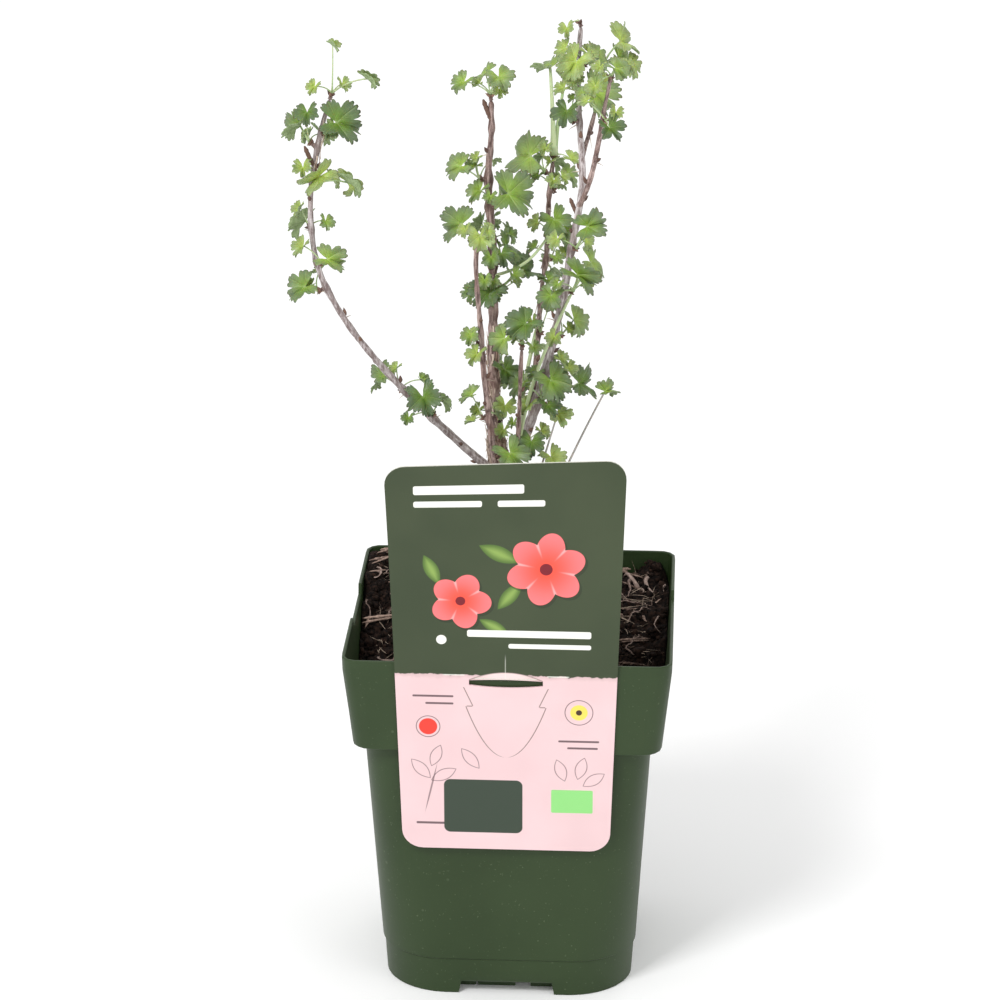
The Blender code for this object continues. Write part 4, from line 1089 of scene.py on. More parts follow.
# %% Limb paths
TRUNK_PROFILE = ((0, 7.6), (3, 6.6), (9, 5.6), (25, 5.1), (50, 4.8), (68, 4.4), (78, 3.6), (87, 2.7))
TRUNK_LEANS = ((-5, 0), (-5, 1), (-7, 4))
TRUNK_STEP = 3 * MM
LIMBS = {  # carrier, share up it, length, thickness at foot and tip, leans across and back
    "middle": ("trunk", 0.97, 133, 4.6, 2.0,
               ((-3, 16), (-2, 13), (0, 10), (-2, 5), (-5, 6), (4, 2), (-2, 0))),
    "left": ("trunk", 0.76, 190, 3.7, 2.1,
             ((-46, -23), (-41, -25), (-39, -22), (-35, -18), (-26, -12), (-5, -3), (9, 5), (17, 9))),
    "right": ("trunk", 0.74, 192, 4.2, 1.7,
              ((31, -5), (20, -10), (13, -8), (12, -8), (9, -4), (10, 4), (-6, 18), (-2, 15), (5, 9))),
    "front": ("trunk", 0.62, 118, 2.8, 1.9,
              ((-9, -20), (-6, -18), (-6, -14), (-3, -9), (-5, -5), (2, 0))),
    "short": ("trunk", 0.58, 82, 2.2, 1.4, ((19, -19), (5, -19), (2, -18), (3, -16))),
    "back": ("right", 0.16, 106, 2.3, 1.5,
             ((4, 46), (3, 41), (3, 27), (7, 15), (0, 7), (9, 8))),
    "outer": ("right", 0.64, 60, 2.1, 1.4, ((22, -30), (12, -25), (8, -17), (11, -11))),
    "inner": ("right", 0.74, 41, 1.9, 1.3, ((23, 58), (15, 50), (4, 27))),
}
LIMB_STEP, LIMB_SIDES, TRUNK_SIDES = 9 * MM, 8, 12
LIMB_SWELL, LIMB_SWELL_FADE = 0.25, 14


def smooth_between(values, share):
    """A value read between even stations, half straight and half soft."""
    place = min(max(share, 0.0), 1.0) * (len(values) - 1)
    first = min(int(place), len(values) - 2)
    part = place - first
    part = part * part * (3 - 2 * part) * 0.5 + part * 0.5
    return values[first] + (values[first + 1] - values[first]) * part


def grow_path(start, length, leans, step):
    """Points of a limb: each step goes up, across and back as its leans there say."""
    count = max(4, round(length / step))
    points = [Vector(start)]
    for number in range(count):
        share = (number + 0.5) / count
        across, back = (math.tan(math.radians(smooth_between(side, share))) for side in zip(*leans))
        points.append(points[-1] + Vector((across, back, 1)).normalized() * (length / count))
    return points


def along(path, share):
    """The point and direction at a share of a path's length."""
    place = min(max(share, 0.0), 1.0) * (len(path) - 1)
    first = min(int(place), len(path) - 2)
    return path[first].lerp(path[first + 1], place - first), (path[first + 1] - path[first]).normalized()


def limb_radii(count, foot, tip):
    """Radii of a limb, a little swollen at its foot and thinning steadily to its tip."""
    share = np.arange(count) / (count - 1)
    return 0.5 * MM * (foot + (tip - foot) * share + foot * LIMB_SWELL * np.exp(-share * LIMB_SWELL_FADE))


trunk_foot = Vector((0, 0, SOIL_TOP + GAP))
trunk_length = TRUNK_PROFILE[-1][0] * MM
paths = {"trunk": grow_path(trunk_foot, trunk_length, TRUNK_LEANS, TRUNK_STEP)}
for name, (carrier, share, length, _, _, leans) in LIMBS.items():
    paths[name] = grow_path(along(paths[carrier], share)[0], length * MM, leans, LIMB_STEP)
print("limb tips reach", {name: round(path[-1].z / MM) for name, path in paths.items()}, "mm")

# %% [markdown]
# ## The plan of the leaves
# Each leaf first gets its place by the rule that made the solids. A spray has a short spur on its
# limb. Its main leaves come from the table, and small ones by chance from the spray's own seed. A
# leaf that would touch a limb, another spray or its own spray's blades is swung aside and tried
# again, so the test shapes repeat the plain solids: a three-sided stalk and a flat lobed lens.

# %% Spray table
SPRAYS = {  # limb, share along it, small leaves, main leaves as heading, lift, reach, blade
    "left_tip": ("left", 1.0, 2, ((-67, 79, 22, 5.5), (-12, 31, 17, 8))),
    "left_outer": ("left", 0.9, 1, ((143, 38, 11, 13), (-123, 68, 16, 6))),
    "left_inner": ("left", 0.93, 0, ((-53, 29, 13, 13),)),
    "left_arch": ("left", 0.83, 1, ((-63, 27, 9, 13), (27, -8, 14, 9))),
    "left_shade": ("left", 0.73, 1, ((111, 5, 9, 8),)),
    "left_elbow": ("left", 0.66, 1, ((-58, 20, 10, 11),)),
    "left_shelf": ("left", 0.6, 1, ((-152, 8, 9, 8),)),
    "left_low": ("left", 0.3, 1, ((143, 19, 12, 8),)),
    "left_foot": ("left", 0.21, 1, ((-132, 52, 14, 9),)),
    "middle_tip": ("middle", 1.0, 2, ((-169, 36, 13, 6), (117, 60, 11, 7), (-56, 62, 12, 7))),
    "middle_high": ("middle", 0.76, 1, ((-159, 29, 13, 8),)),
    "middle_broad": ("middle", 0.68, 2, ((-44, 34, 13, 13),)),
    "middle_left": ("middle", 0.58, 1, ((-152, 30, 15, 11),)),
    "middle_back": ("middle", 0.56, 1, ((116, 32, 12, 8),)),
    "middle_right": ("middle", 0.5, 1, ((51, 39, 10, 11),)),
    "middle_reach": ("middle", 0.43, 1, ((37, 20, 15, 10),)),
    "middle_hub": ("middle", 0.4, 1, ((-84, 36, 9, 9),)),
    "middle_low": ("middle", 0.15, 1, ((70, 4, 10, 12),)),
    "middle_foot": ("middle", 0.04, 1, ((-54, 46, 11, 6),)),
    "front_tip": ("front", 1.0, 2, ((-66, 51, 6, 7),)),
    "front_high": ("front", 0.6, 1, ((-139, 60, 12, 5),)),
    "front_spur": ("front", 0.35, 1, ((152, 51, 13, 6),)),
    "short_tip": ("short", 1.0, 1, ((-68, 70, 12, 12),)),
    "short_foot": ("short", 0.34, 1, ((-105, 35, 10, 11),)),
    "right_top": ("right", 1.0, 0, ((-152, 0, 6, 6),)),
    "right_crest": ("right", 0.92, 2, ((-96, 28, 8, 10), (57, 15, 10, 8))),
    "right_shoulder": ("right", 0.86, 1, ((-48, 20, 9, 11),)),
    "right_neck": ("right", 0.81, 1, ((-140, 40, 8, 7),)),
    "right_fan": ("right", 0.55, 1, ((-52, 49, 15, 11),)),
    "right_skirt": ("right", 0.45, 1, ((-54, 47, 14, 12), (38, 40, 17, 9))),
    "right_edge": ("right", 0.35, 1, ((32, 34, 11, 8),)),
    "right_bend": ("right", 0.27, 1, ((77, 26, 10, 7),)),
    "right_broad": ("right", 0.21, 2, ((-61, 45, 15, 14),)),
    "right_fork": ("right", 0.19, 2, ((13, 23, 19, 10),)),
    "right_foot": ("right", 0.11, 1, ((-78, 12, 10, 7),)),
    "inner_crown": ("inner", 1.0, 2, ((31, 51, 13, 13), (48, 14, 10, 8))),
    "outer_side": ("outer", 0.75, 1, ((-70, -20, 8, 7),)),
    "outer_tip": ("outer", 1.0, 1, ((-72, 44, 9, 8),)),
    "back_shoots": ("back", 1.0, 2, ((106, 80, 37, 8), (69, 70, 32, 7))),
    "back_crown": ("back", 0.95, 1, ((-151, 51, 10, 13),)),
    "back_high": ("back", 0.88, 2, ((60, 32, 10, 7),)),
    "back_knuckle": ("back", 0.72, 1, ((-71, 47, 12, 8),)),
    "back_mid": ("back", 0.62, 1, ((52, 44, 12, 7),)),
    "back_dark": ("back", 0.47, 1, ((70, 45, 15, 9),)),
    "back_low": ("back", 0.34, 0, ((-55, 60, 19, 6),)),
    "base_long": ("trunk", 0.3, 0, ((8, 63, 84, 8),)),
    "base_pale": ("trunk", 0.44, 1, ((-18, 64, 43, 7), (-21, 69, 61, 7))),
}
SPUR_LENGTH = 2.4 * MM
STALK_RADIUS, STALK_STEPS = 0.42 * MM, 3
STALK_BOW, STALK_RISE, STALK_SINK, BLADE_SINK = 0.45, 0.12, 0.5 * MM, 0.8 * MM
LIGHT = Vector((0.05, -0.6, 0.8))
SUNWARD = -0.6
DROOP, DROOP_BY_SIZE, DROOP_SPREAD, DROOP_KEPT_UPRIGHT = 28, 2.6, 12, 0.2
UPRIGHT_FROM, UPRIGHT_SPAN = 50, 40
SMALL_TURN, SMALL_LIFT, SMALL_REACH = (70, 130), (15, 60), (5, 8.5)
SMALL_SHARE, SMALLEST = (0.4, 0.62), 4.0
TRIES, SWING_FIRST, SWING_MORE, TIP_AFTER, TIP_SPREAD, STRETCH = 14, 4, 5, 4, 15, 0.03
ROOM = 1.5 * GAP
BROAD_HALF = ((12, 0.98), (31, 0.74), (50, 0.86), (66, 0.8), (88, 0.56), (114, 0.6), (142, 0.48))
SMALL_HALF = ((14, 0.98), (38, 0.74), (66, 0.84), (102, 0.58), (142, 0.48))
SMALL_LEAF, LEAF_MIDDLE, LEAF_THICK = 7 * MM, 0.33, 0.5 * MM
LEAF_DISH, LEAF_ARCH = 0.10, 0.12
print(len(SPRAYS), "sprays with", sum(len(spray[3]) for spray in SPRAYS.values()), "main leaves")

# %% Test shapes


def test_tube(path, radii, sides, grow=0.0, level=False):
    """A search tree over a plain tapering tube, its radius and ends pushed out by grow."""
    path = [Vector(point) for point in path]
    radii = [float(radius) for radius in radii]
    path[0] = path[0] - (path[1] - path[0]).normalized() * grow
    path[-1] = path[-1] + (path[-1] - path[-2]).normalized() * grow
    side = Vector((1, 0, 0))
    rings = []
    for number, point in enumerate(path):
        before, after = path[max(number - 1, 0)], path[min(number + 1, len(path) - 1)]
        forward = Vector((0, 0, 1)) if level else (after - before).normalized()
        side = side - forward * side.dot(forward)
        if side.length < 0.1:
            side = forward.orthogonal()
        side.normalize()
        up = forward.cross(side)
        reach, angles = radii[number] + grow, [math.tau * k / sides for k in range(sides)]
        rings.append([point + reach * (math.cos(angle) * side + math.sin(angle) * up) for angle in angles])
    points, faces = closed_tube(np.array(rings))
    return BVHTree.FromPolygons(points.tolist(), face_lists(faces))


def test_leaf(joint, ahead, upper, blade, grow=0.0):
    """A search tree over a plain lobed lens with a sharp margin."""
    across = upper.cross(ahead)
    half = list(SMALL_HALF if blade < SMALL_LEAF else BROAD_HALF)
    points = []
    for angle, share in half + [(-angle, share) for angle, share in reversed(half)]:
        turn = math.radians(angle)
        rise = blade * share * (LEAF_DISH * abs(math.sin(turn)) - LEAF_ARCH * share)
        sideways = math.cos(turn) * ahead + math.sin(turn) * across
        points.append(joint + (blade * share + grow) * sideways + rise * upper)
    count, middle, thick = len(points), joint + LEAF_MIDDLE * blade * ahead, LEAF_THICK / 2 + grow
    points += [middle + upper * thick, middle - upper * thick]
    sides = [(k, (k + 1) % count) for k in range(count)]
    faces = [face for k, after in sides for face in ((k, after, count), (after, k, count + 1))]
    return BVHTree.FromPolygons(points, faces)


print("a broad test leaf has", 2 * len(BROAD_HALF), "corners")

# %% [markdown]
# A leaf's stalk bows up from the spur to the blade's foot. The blade hangs forward from there, more
# so the larger it is, and its upper side turns to the light. The same few draws of chance, in the
# same order, give the same leaf as in the solids.

# %% One leaf's place


def direction(heading, lift):
    """The way a leaf points: heading turns it from +X toward +Y, and lift raises it."""
    turn, rise = math.radians(heading), math.radians(lift)
    return Vector((math.cos(rise) * math.cos(turn), math.cos(rise) * math.sin(turn), math.sin(rise)))


def stalk_points(start, heading, joint, steps):
    """Points of a leaf stalk: a quadratic bow from the spur to the blade."""
    bow = start + (heading * STALK_BOW + Vector((0, 0, STALK_RISE))) * (joint - start).length
    shares = [k / steps for k in range(steps + 1)]
    return [(1 - t) ** 2 * start + 2 * t * (1 - t) * bow + t * t * joint for t in shares]


def try_leaf(spray, heading, lift, reach, blade, chance):
    """One leaf's place and its test shapes: stalk and blade at true size, then blade with room round it."""
    hub, way = spray["hub"], direction(heading, lift)
    joint = spray["root"] + way * reach * MM
    level = (direction(heading, 0) + Vector((0, SUNWARD, 0))).normalized()
    upright = max(lift - UPRIGHT_FROM, 0) / UPRIGHT_SPAN
    droop = (DROOP + DROOP_BY_SIZE * blade) * (1 - (1 - DROOP_KEPT_UPRIGHT) * upright)
    droop = math.radians(droop + chance.uniform(-DROOP_SPREAD, DROOP_SPREAD))
    ahead = math.cos(droop) * level - Vector((0, 0, math.sin(droop)))
    upper = math.sin(droop) * level + Vector((0, 0, math.cos(droop))) + LIGHT * chance.uniform(0.6, 1.1)
    upper = (upper - ahead * upper.dot(ahead)).normalized()
    stalk = stalk_points(hub, way, joint, STALK_STEPS)
    stalk[0] = stalk[0] - (stalk[1] - stalk[0]).normalized() * STALK_SINK
    stalk.append(joint + ahead * BLADE_SINK)
    radii = [STALK_RADIUS * (1.25 if k == 0 else 1 - 0.06 * k) for k in range(len(stalk))]
    shapes = [test_tube(stalk, radii, 3), test_leaf(joint, ahead, upper, blade * MM)]
    wide = test_leaf(joint, ahead, upper, blade * MM, ROOM)
    place = {"joint": joint, "ahead": ahead, "upper": upper, "blade": blade * MM, "hub": hub, "way": way}
    return place, shapes, wide


print("a leaf may hang by", DROOP, "degrees and more")

# %% A spray's rules


def limb_thickness(limb, share):
    """A limb's radius at a share of its length."""
    if limb == "trunk":
        heights, radii = zip(*TRUNK_PROFILE)
        return float(np.interp(share * heights[-1], heights, radii)) * MM
    foot, tip = LIMBS[limb][3], LIMBS[limb][4]
    return 0.5 * (foot + (tip - foot) * share) * MM


def spur_direction(forward, leaves, at_tip):
    """The way a spray's spur points: between its leaves, off its limb's side or on past its tip."""
    mean = sum((direction(heading, lift) for heading, lift, _, _ in leaves), Vector()).normalized()
    if at_tip:
        return (mean * 0.5 + forward).normalized()
    return (mean - forward * mean.dot(forward) * 0.7).normalized()


def small_leaves(first, more, clear, chance):
    """The small leaves that follow a spray's first leaf, to one side and the other by turns."""
    heading, _, _, blade = first
    leaves = []
    for number in range(more):
        side = (1 if number % 2 else -1) * chance.uniform(*SMALL_TURN)
        size = max(SMALLEST, blade * chance.uniform(*SMALL_SHARE))
        lift = chance.uniform(*SMALL_LIFT)
        leaves.append((heading + side, lift, clear / MM + chance.uniform(*SMALL_REACH), size))
    return leaves


def grow_leaf(spray, leaf, others, chance):
    """Adds a leaf to its spray at the first try that clears the limbs, the other sprays and the spray's
    own blades. It is left out after the last try."""
    heading, lift, reach, blade = leaf
    for attempt in range(TRIES):
        swing = (1 if attempt % 2 else -1) * (SWING_FIRST + SWING_MORE * attempt) if attempt else 0
        tip = chance.uniform(-TIP_SPREAD, TIP_SPREAD) if attempt >= TIP_AFTER else 0
        far = reach * (1 + STRETCH * attempt)
        place, shapes, wide = try_leaf(spray, heading + swing, lift + tip, far, blade, chance)
        crossed = any(shape.overlap(other) for shape in shapes for other in others)
        if not crossed and not any(shapes[1].overlap(other) for other in spray["own"]):
            spray["leaves"].append(place)
            spray["shapes"] += shapes
            spray["own"] += [wide, shapes[1]]
            return


print("up to", TRIES, "tries for each leaf")

# %% The plan


def limb_trees():
    """Search trees over the plain trunk and limbs, with room round each."""
    heights, radii = zip(*TRUNK_PROFILE)
    points = [along(paths["trunk"], height * MM / trunk_length)[0] for height in heights]
    trees = [test_tube(points, [radius * MM for radius in radii], TRUNK_SIDES, ROOM, level=True)]
    for name, (_, _, _, foot, tip, _) in LIMBS.items():
        path = paths[name]
        trees.append(test_tube(path, limb_radii(len(path), foot, tip), LIMB_SIDES, ROOM))
    return trees


def plan_sprays(trees):
    """Every spray's spur and leaves, in the table's order."""
    taken, plan = [], {}
    for name, (limb, share, more, main_leaves) in SPRAYS.items():
        chance = random.Random(seed_of(name))
        root, forward = along(paths[limb], share)
        at_tip = share == 1.0
        clear = 0.0 if at_tip else limb_thickness(limb, share)
        outward = spur_direction(forward, main_leaves, at_tip)
        hub = root + outward * (clear + SPUR_LENGTH)
        spray = {"limb": limb, "root": root, "hub": hub, "forward": forward, "outward": outward,
                 "clear": clear, "at_tip": at_tip, "leaves": [], "shapes": [], "own": []}
        for leaf in [*main_leaves, *small_leaves(main_leaves[0], more, clear, chance)]:
            grow_leaf(spray, leaf, trees + taken, chance)
        taken += spray["shapes"]
        plan[name] = spray
    return plan


trees = limb_trees()
plan = plan_sprays(trees)
print(sum(len(spray["leaves"]) for spray in plan.values()), "leaves as in the solids")

# %% [markdown]
# The solids stop at the larger leaves. On the real bush each spur also carries one to three tiny
# leaves that have just opened, so the same rule runs once more with shorter stalks and smaller blades.

# %% Young leaves
YOUNG_LEAVES, YOUNG_ON_LEFT = 2, 1
YOUNG_HERE = {"back_shoots": 0, "left_tip": 0, "base_long": 0, "right_top": 0, "left_elbow": 0,
              "middle_foot": 0, "middle_tip": 1, "base_pale": 1, "inner_crown": 1, "front_spur": 1,
              "middle_low": 1, "right_broad": 1, "middle_hub": 3}
YOUNG_REACH, YOUNG_LIFT, YOUNG_BLADE = (4.5, 9.5), (-5, 80), (3.0, 5.6)
for name, spray in plan.items():
    chance = random.Random(seed_of(name, 1))
    others = trees + [shape for other, its in plan.items() if other != name for shape in its["shapes"]]
    usual = YOUNG_ON_LEFT if spray["limb"] == "left" else YOUNG_LEAVES
    for _ in range(YOUNG_HERE.get(name, usual)):
        reach = spray["clear"] / MM + chance.uniform(*YOUNG_REACH)
        leaf = (chance.uniform(-180, 180), chance.uniform(*YOUNG_LIFT), reach, chance.uniform(*YOUNG_BLADE))
        grow_leaf(spray, leaf, others, chance)
print(sum(len(spray["leaves"]) for spray in plan.values()), "leaves planned in", len(plan), "sprays")

# %% [markdown]
# ## Bark
# The stump's bark is old and flaky, the left stem's smooth and greyish lilac, the others' brown. A
# relief in the mesh gives furrows and a knob below each spur, and the material adds the fine grain.
# The relief's own height is kept as the tone, so furrows are dark and ridges pale.

# %% Bark skins
BARK_STEP, BARK_SIDES = 0.8 * MM, 28
SLIM = {"left": 0.84, "front": 0.92}
LUMPS = {"middle": 0.3, "back": 0.28, "front": 0.2, "inner": 0.22, "outer": 0.22}
BARKS = {  # furrow depth, knob size, seed, material
    "trunk": (0.2, 0.10, 1, "old"), "middle": (0.18, 0.4, 2, "brown"), "left": (0.07, 0.3, 3, "grey"),
    "right": (0.08, 0.25, 4, "grey"), "front": (0.14, 0.3, 5, "brown"), "short": (0.12, 0.3, 6, "brown"),
    "back": (0.16, 0.4, 7, "brown"), "outer": (0.12, 0.3, 8, "brown"), "inner": (0.12, 0.3, 9, "brown"),
}


def fine_path(path, step):
    """The path's points resampled evenly along a smooth curve through them."""
    points = np.array(path)
    places = np.arange(len(points))
    count = max(4, int(np.linalg.norm(np.diff(points, axis=0), axis=1).sum() / step))
    at = np.linspace(0, len(points) - 1, count)
    first = np.clip(at.astype(int), 0, len(points) - 2)
    t = (at - first)[:, None]
    before, after = points[np.clip(first - 1, 0, None)], points[np.clip(first + 2, None, places[-1])]
    a, b = points[first], points[first + 1]
    return 0.5 * (2 * a + (b - before) * t + (2 * before - 5 * a + 4 * b - after) * t ** 2
                  + (3 * a - before - 3 * b + after) * t ** 3)


print("bark rings stand", round(BARK_STEP / MM, 1), "mm apart")

# %% Bark relief


def bark_rings(name):
    """A limb's bark: its radius times creases (|stretched noise|), knobs at its spurs and a closed tip."""
    furrow, knob, seed, _ = BARKS[name]
    line = fine_path(paths[name], BARK_STEP)
    share = np.linspace(0, 1, len(line))
    if name == "trunk":
        base = np.interp(share * TRUNK_PROFILE[-1][0], *zip(*TRUNK_PROFILE)) * MM
    else:
        base = limb_radii(len(line), *LIMBS[name][3:5]) * SLIM.get(name, 1)
    angle = np.arange(BARK_SIDES) / BARK_SIDES * math.tau
    spread = np.cos(angle) * base[:, None] * 2, np.sin(angle) * base[:, None] * 2, line[:, 2:3] * 0.22
    round_place = np.stack(np.broadcast_arrays(*spread), axis=-1)
    relief = 1.5 * np.abs(noise(round_place, 1.6 * MM, seed, 2)) - 0.45
    relief += 0.4 * noise(round_place, 0.7 * MM, seed + 40)
    bumps = noise(line, 4.5 * MM, seed + 20, 2)[:, None]
    swell = np.zeros_like(share)
    for spray in plan.values():
        if spray["limb"] == name and not spray["at_tip"]:
            gap = np.linalg.norm(line - np.array(spray["root"]), axis=1)
            swell += np.exp(-(gap / (2.2 * MM)) ** 2)
    swell = np.minimum(swell, 1)
    radii = base[:, None] * (1 + furrow * relief + LUMPS.get(name, 0.12) * bumps + knob * swell[:, None])
    least = 0.1 if name == "trunk" else 0.04
    radii *= np.sqrt(np.clip((1 - share) * len(line) / 3, 0, 1))[:, None] * (1 - least) + least
    rings = round_rings(line, radii, BARK_SIDES)
    if name == "trunk":
        rings[..., 2] = np.maximum(rings[..., 2], SOIL_TOP + 0.1 * MM)
    dark = 0.35 * swell + (0.4 * smooth((share - 0.72) / 0.2) if name == "left" else 0)
    return rings, np.clip(0.5 + 0.5 * relief - dark[:, None], 0, 1)


def bark_material(name, furrow, ridge, blotch, scale):
    """Bark: furrow and ridge colours by the relief's tone, with fine cracks, specks and worn patches."""
    board = Board(name)
    cracks = board.noise(scale, 5, 0.18)
    specks = board.noise(scale * 2.2, 2)
    patches = board.noise(120, 3).within(0.5, 0.66)
    share = board.tone() * 0.6 + (cracks - 0.5) * 1.5 + (specks - 0.5) * 0.5 + 0.16
    base = board.mix(share.within(0.1, 0.95), colour(*furrow), colour(*ridge))
    base = board.mix(patches * 0.45, base, colour(*blotch))
    return board.finish(base, 0.75, cracks * 0.7 + specks * 0.3, strength=0.7, distance=0.4 * MM)


# %% Bark on the limbs
bark_materials = {
    "old": bark_material("old bark", (70, 46, 38), (190, 164, 146), (204, 186, 168), 900),
    "brown": bark_material("brown bark", (80, 58, 54), (186, 162, 156), (140, 110, 102), 1200),
    "grey": bark_material("grey bark", (118, 102, 100), (206, 198, 198), (164, 148, 144), 1200),
}
for name in BARKS:
    rings, tones = bark_rings(name)
    heap = Heap()
    points, faces = closed_tube(rings)
    heap.add(points, faces, tone=np.append(tones.ravel(), [0.5, 0.5]))
    slot_name = "old_bark" if name == "trunk" else "young_bark"
    heap.build(name + "_bark", [bark_materials[BARKS[name][3]]], [name], slot_name)

# %% [markdown]
# ## Spurs and stalks
# Each spray sits on a short brown spur with ringed scars. Its leaves leave it on thin pale stalks, a
# little thicker where they clasp the spur, and three green shoots climb between limbs. All are tubes.

# %% Spurs and stalks
SPUR_SIDES, SPUR_STEPS, STALK_SIDES, STALK_FINE = 10, 9, 6, 9
STOUT = {"back_shoots": 3.4, "base_pale": 2.1, "base_long": 1.9, "middle_reach": 1.4, "back_crown": 1.3,
         "right_skirt": 1.3}
STOUT_FROM = 6 * MM


def spur_rings(spray):
    """A knobbly spur from inside the limb to the leaves' foot."""
    foot = np.array(spray["root"]) + np.array(spray["outward"]) * spray["clear"] * 0.4
    line = foot + (np.array(spray["hub"]) - foot) * np.linspace(0, 1, SPUR_STEPS)[:, None]
    share = np.linspace(0, 1, SPUR_STEPS)
    radii = (0.95 - 0.2 * share + 0.16 * np.cos(share * 5 * math.tau)) * 0.9 * MM
    radii[-1] *= 0.5
    return round_rings(line + 1e-7, radii, SPUR_SIDES)


def stalk_material():
    """Stalks: pale green, paler toward yellow by tone, and grey lilac at a tone of 2."""
    board = Board("leaf stalk")
    speckle = board.noise(1500, 2)
    base = board.mix(board.tone() + (speckle - 0.5) * 0.3, colour(140, 166, 108), colour(190, 204, 158))
    base = board.mix((board.tone() - 1).within(0.0, 1.0), base, colour(176, 168, 168))
    return board.finish(base, 0.5, speckle, strength=0.1, Subsurface_Weight=0.1, Subsurface_Scale=0.4 * MM)


SHOOTS = (  # limb, share up it, the spray that it ends in, bow, foot and tip radius
    ("short", 0.27, "back_dark", (-2, -3, 0), 1.15, 0.55),
    ("short", 0.30, "right_skirt", (-4, -5, 0), 1.0, 0.5),
    ("middle", 0.47, "back_knuckle", (2, -7, -1), 0.75, 0.45),
)
spurs, stalks = Heap(), Heap()
for limb, share, name, bow, foot, tip in SHOOTS:
    start, end, steps = along(paths[limb], share)[0], plan[name]["hub"], np.linspace(0, 1, 30)
    line = np.array(start) + (np.array(end) - np.array(start)) * steps[:, None]
    line = line + np.array(bow) * MM * np.sin(steps * math.pi)[:, None]
    radii = (foot + (tip - foot) * steps) * MM * (1 + 0.12 * noise(steps[:, None] + 3, 0.12, 6))
    stalks.tube(line, radii, 10, 0.85)
for name, spray in plan.items():
    spurs.add(*closed_tube(spur_rings(spray)), tone=0.4)
    chance = np.random.default_rng(seed_of(name))
    for leaf in spray["leaves"]:
        line = np.array(stalk_points(leaf["hub"], leaf["way"], leaf["joint"], STALK_FINE))
        share = np.linspace(0, 1, len(line))
        stout = np.clip(leaf["blade"] / (9 * MM), 0.75, 1.15)
        radii = STALK_RADIUS * (0.8 + 0.7 * np.exp(-share * 7)) * stout
        large = leaf["blade"] > STOUT_FROM
        radii = radii * (1 + (STOUT.get(name, 1) - 1) * large * (1 - 0.6 * share))
        tone = 1.8 if spray["limb"] == "trunk" and large else chance.uniform(0.2, 0.9)
        stalks.tube(line, radii, STALK_SIDES, tone)
spurs.build("spurs", [bark_materials["brown"]], [], "young_bark")
stalks.build("stalks", [stalk_material()], [], "leaves")

# %% [markdown]
# ## Buds, spines and peeling bark
# Between the sprays the limbs carry pointed buds in a spiral, many with a thin pale spine under them,
# and each spur ends in a ring of brown scales. All are tubes along short curved lines.

# %% Point shapes
SPINE_SAG = (0, 0, -0.15)


def spoke(forward, turn):
    """A direction square to forward, at this turn round it."""
    side = forward.orthogonal().normalized()
    return math.cos(turn) * side + math.sin(turn) * forward.cross(side)


def point_line(foot, way, length, bend, steps=6):
    """A short line from foot along way that bends as the square of the way gone."""
    share = np.linspace(0, 1, steps)[:, None]
    return np.asarray(foot) + (np.asarray(way) * share + np.asarray(bend) * share ** 2) * length


def add_point(heap, line, radius, swell, tone, sides=6):
    """A pointed shape on a line: a cone, or with swell a bud."""
    share = np.linspace(0, 1, len(line))
    radii = radius * (1 - share ** (1 + swell)) ** 0.8 * (1 + 0.5 * swell * np.sin(share * math.pi))
    heap.tube(line, radii + 0.03 * MM, sides, tone)


def add_spine(heap, foot, outward, spread, lengths, radius, chance):
    """A thin spine that leaves its foot near outward, by this spread, and sags a little."""
    way = (outward + Vector([chance.uniform(-spread, spread) for _ in range(3)])).normalized()
    line = point_line(foot, way, chance.uniform(*lengths) * MM, SPINE_SAG)
    add_point(heap, line, radius, 0.0, chance.uniform(0.3, 1.0), sides=5)


def plain_material(name, first, second, scale, rough=0.7):
    """Two colours by tone and noise, for small pieces."""
    board = Board(name)
    grain = board.noise(scale, 3)
    base = board.mix(board.tone() + (grain - 0.5) * 0.7, colour(*first), colour(*second))
    return board.finish(base, rough, grain, strength=0.4, distance=0.2 * MM)


print("spines sag by", -SPINE_SAG[2], "of their length")

# %% Buds and spines along the limbs
BUD_STEP, BUD_TURN, BUD_ROOM = 12.5 * MM, math.radians(137.5), 4.5 * MM
SPINE_SHARE, SPUR_SPINE_SHARE, SCALES = 0.6, 0.55, 5
buds, spines = Heap(), Heap()
for limb, path in paths.items():
    chance = random.Random(seed_of(limb, 2))
    length = sum((b - a).length for a, b in zip(path, path[1:]))
    places = [spray["root"] for spray in plan.values() if spray["limb"] == limb]
    for number in range(1, int(length / BUD_STEP) if limb != "trunk" else 0):
        share = number * BUD_STEP / length + chance.uniform(-0.008, 0.008)
        root, forward = along(path, share)
        if min([(root - place).length for place in places] + [1]) < BUD_ROOM:
            continue
        outward = spoke(forward, number * BUD_TURN + chance.uniform(-0.4, 0.4))
        foot = root + outward * limb_thickness(limb, share) * 0.75
        size = chance.uniform(1.6, 2.9) * MM
        line = point_line(foot, outward * 0.75 + forward * 0.65, size, forward * 0.3)
        add_point(buds, line, 0.62 * MM, 1.0, chance.uniform(0.1, 0.6))
        if chance.random() < SPINE_SHARE:
            add_spine(spines, foot - forward * MM, outward, 0.3, (3.0, 7.0), 0.24 * MM, chance)

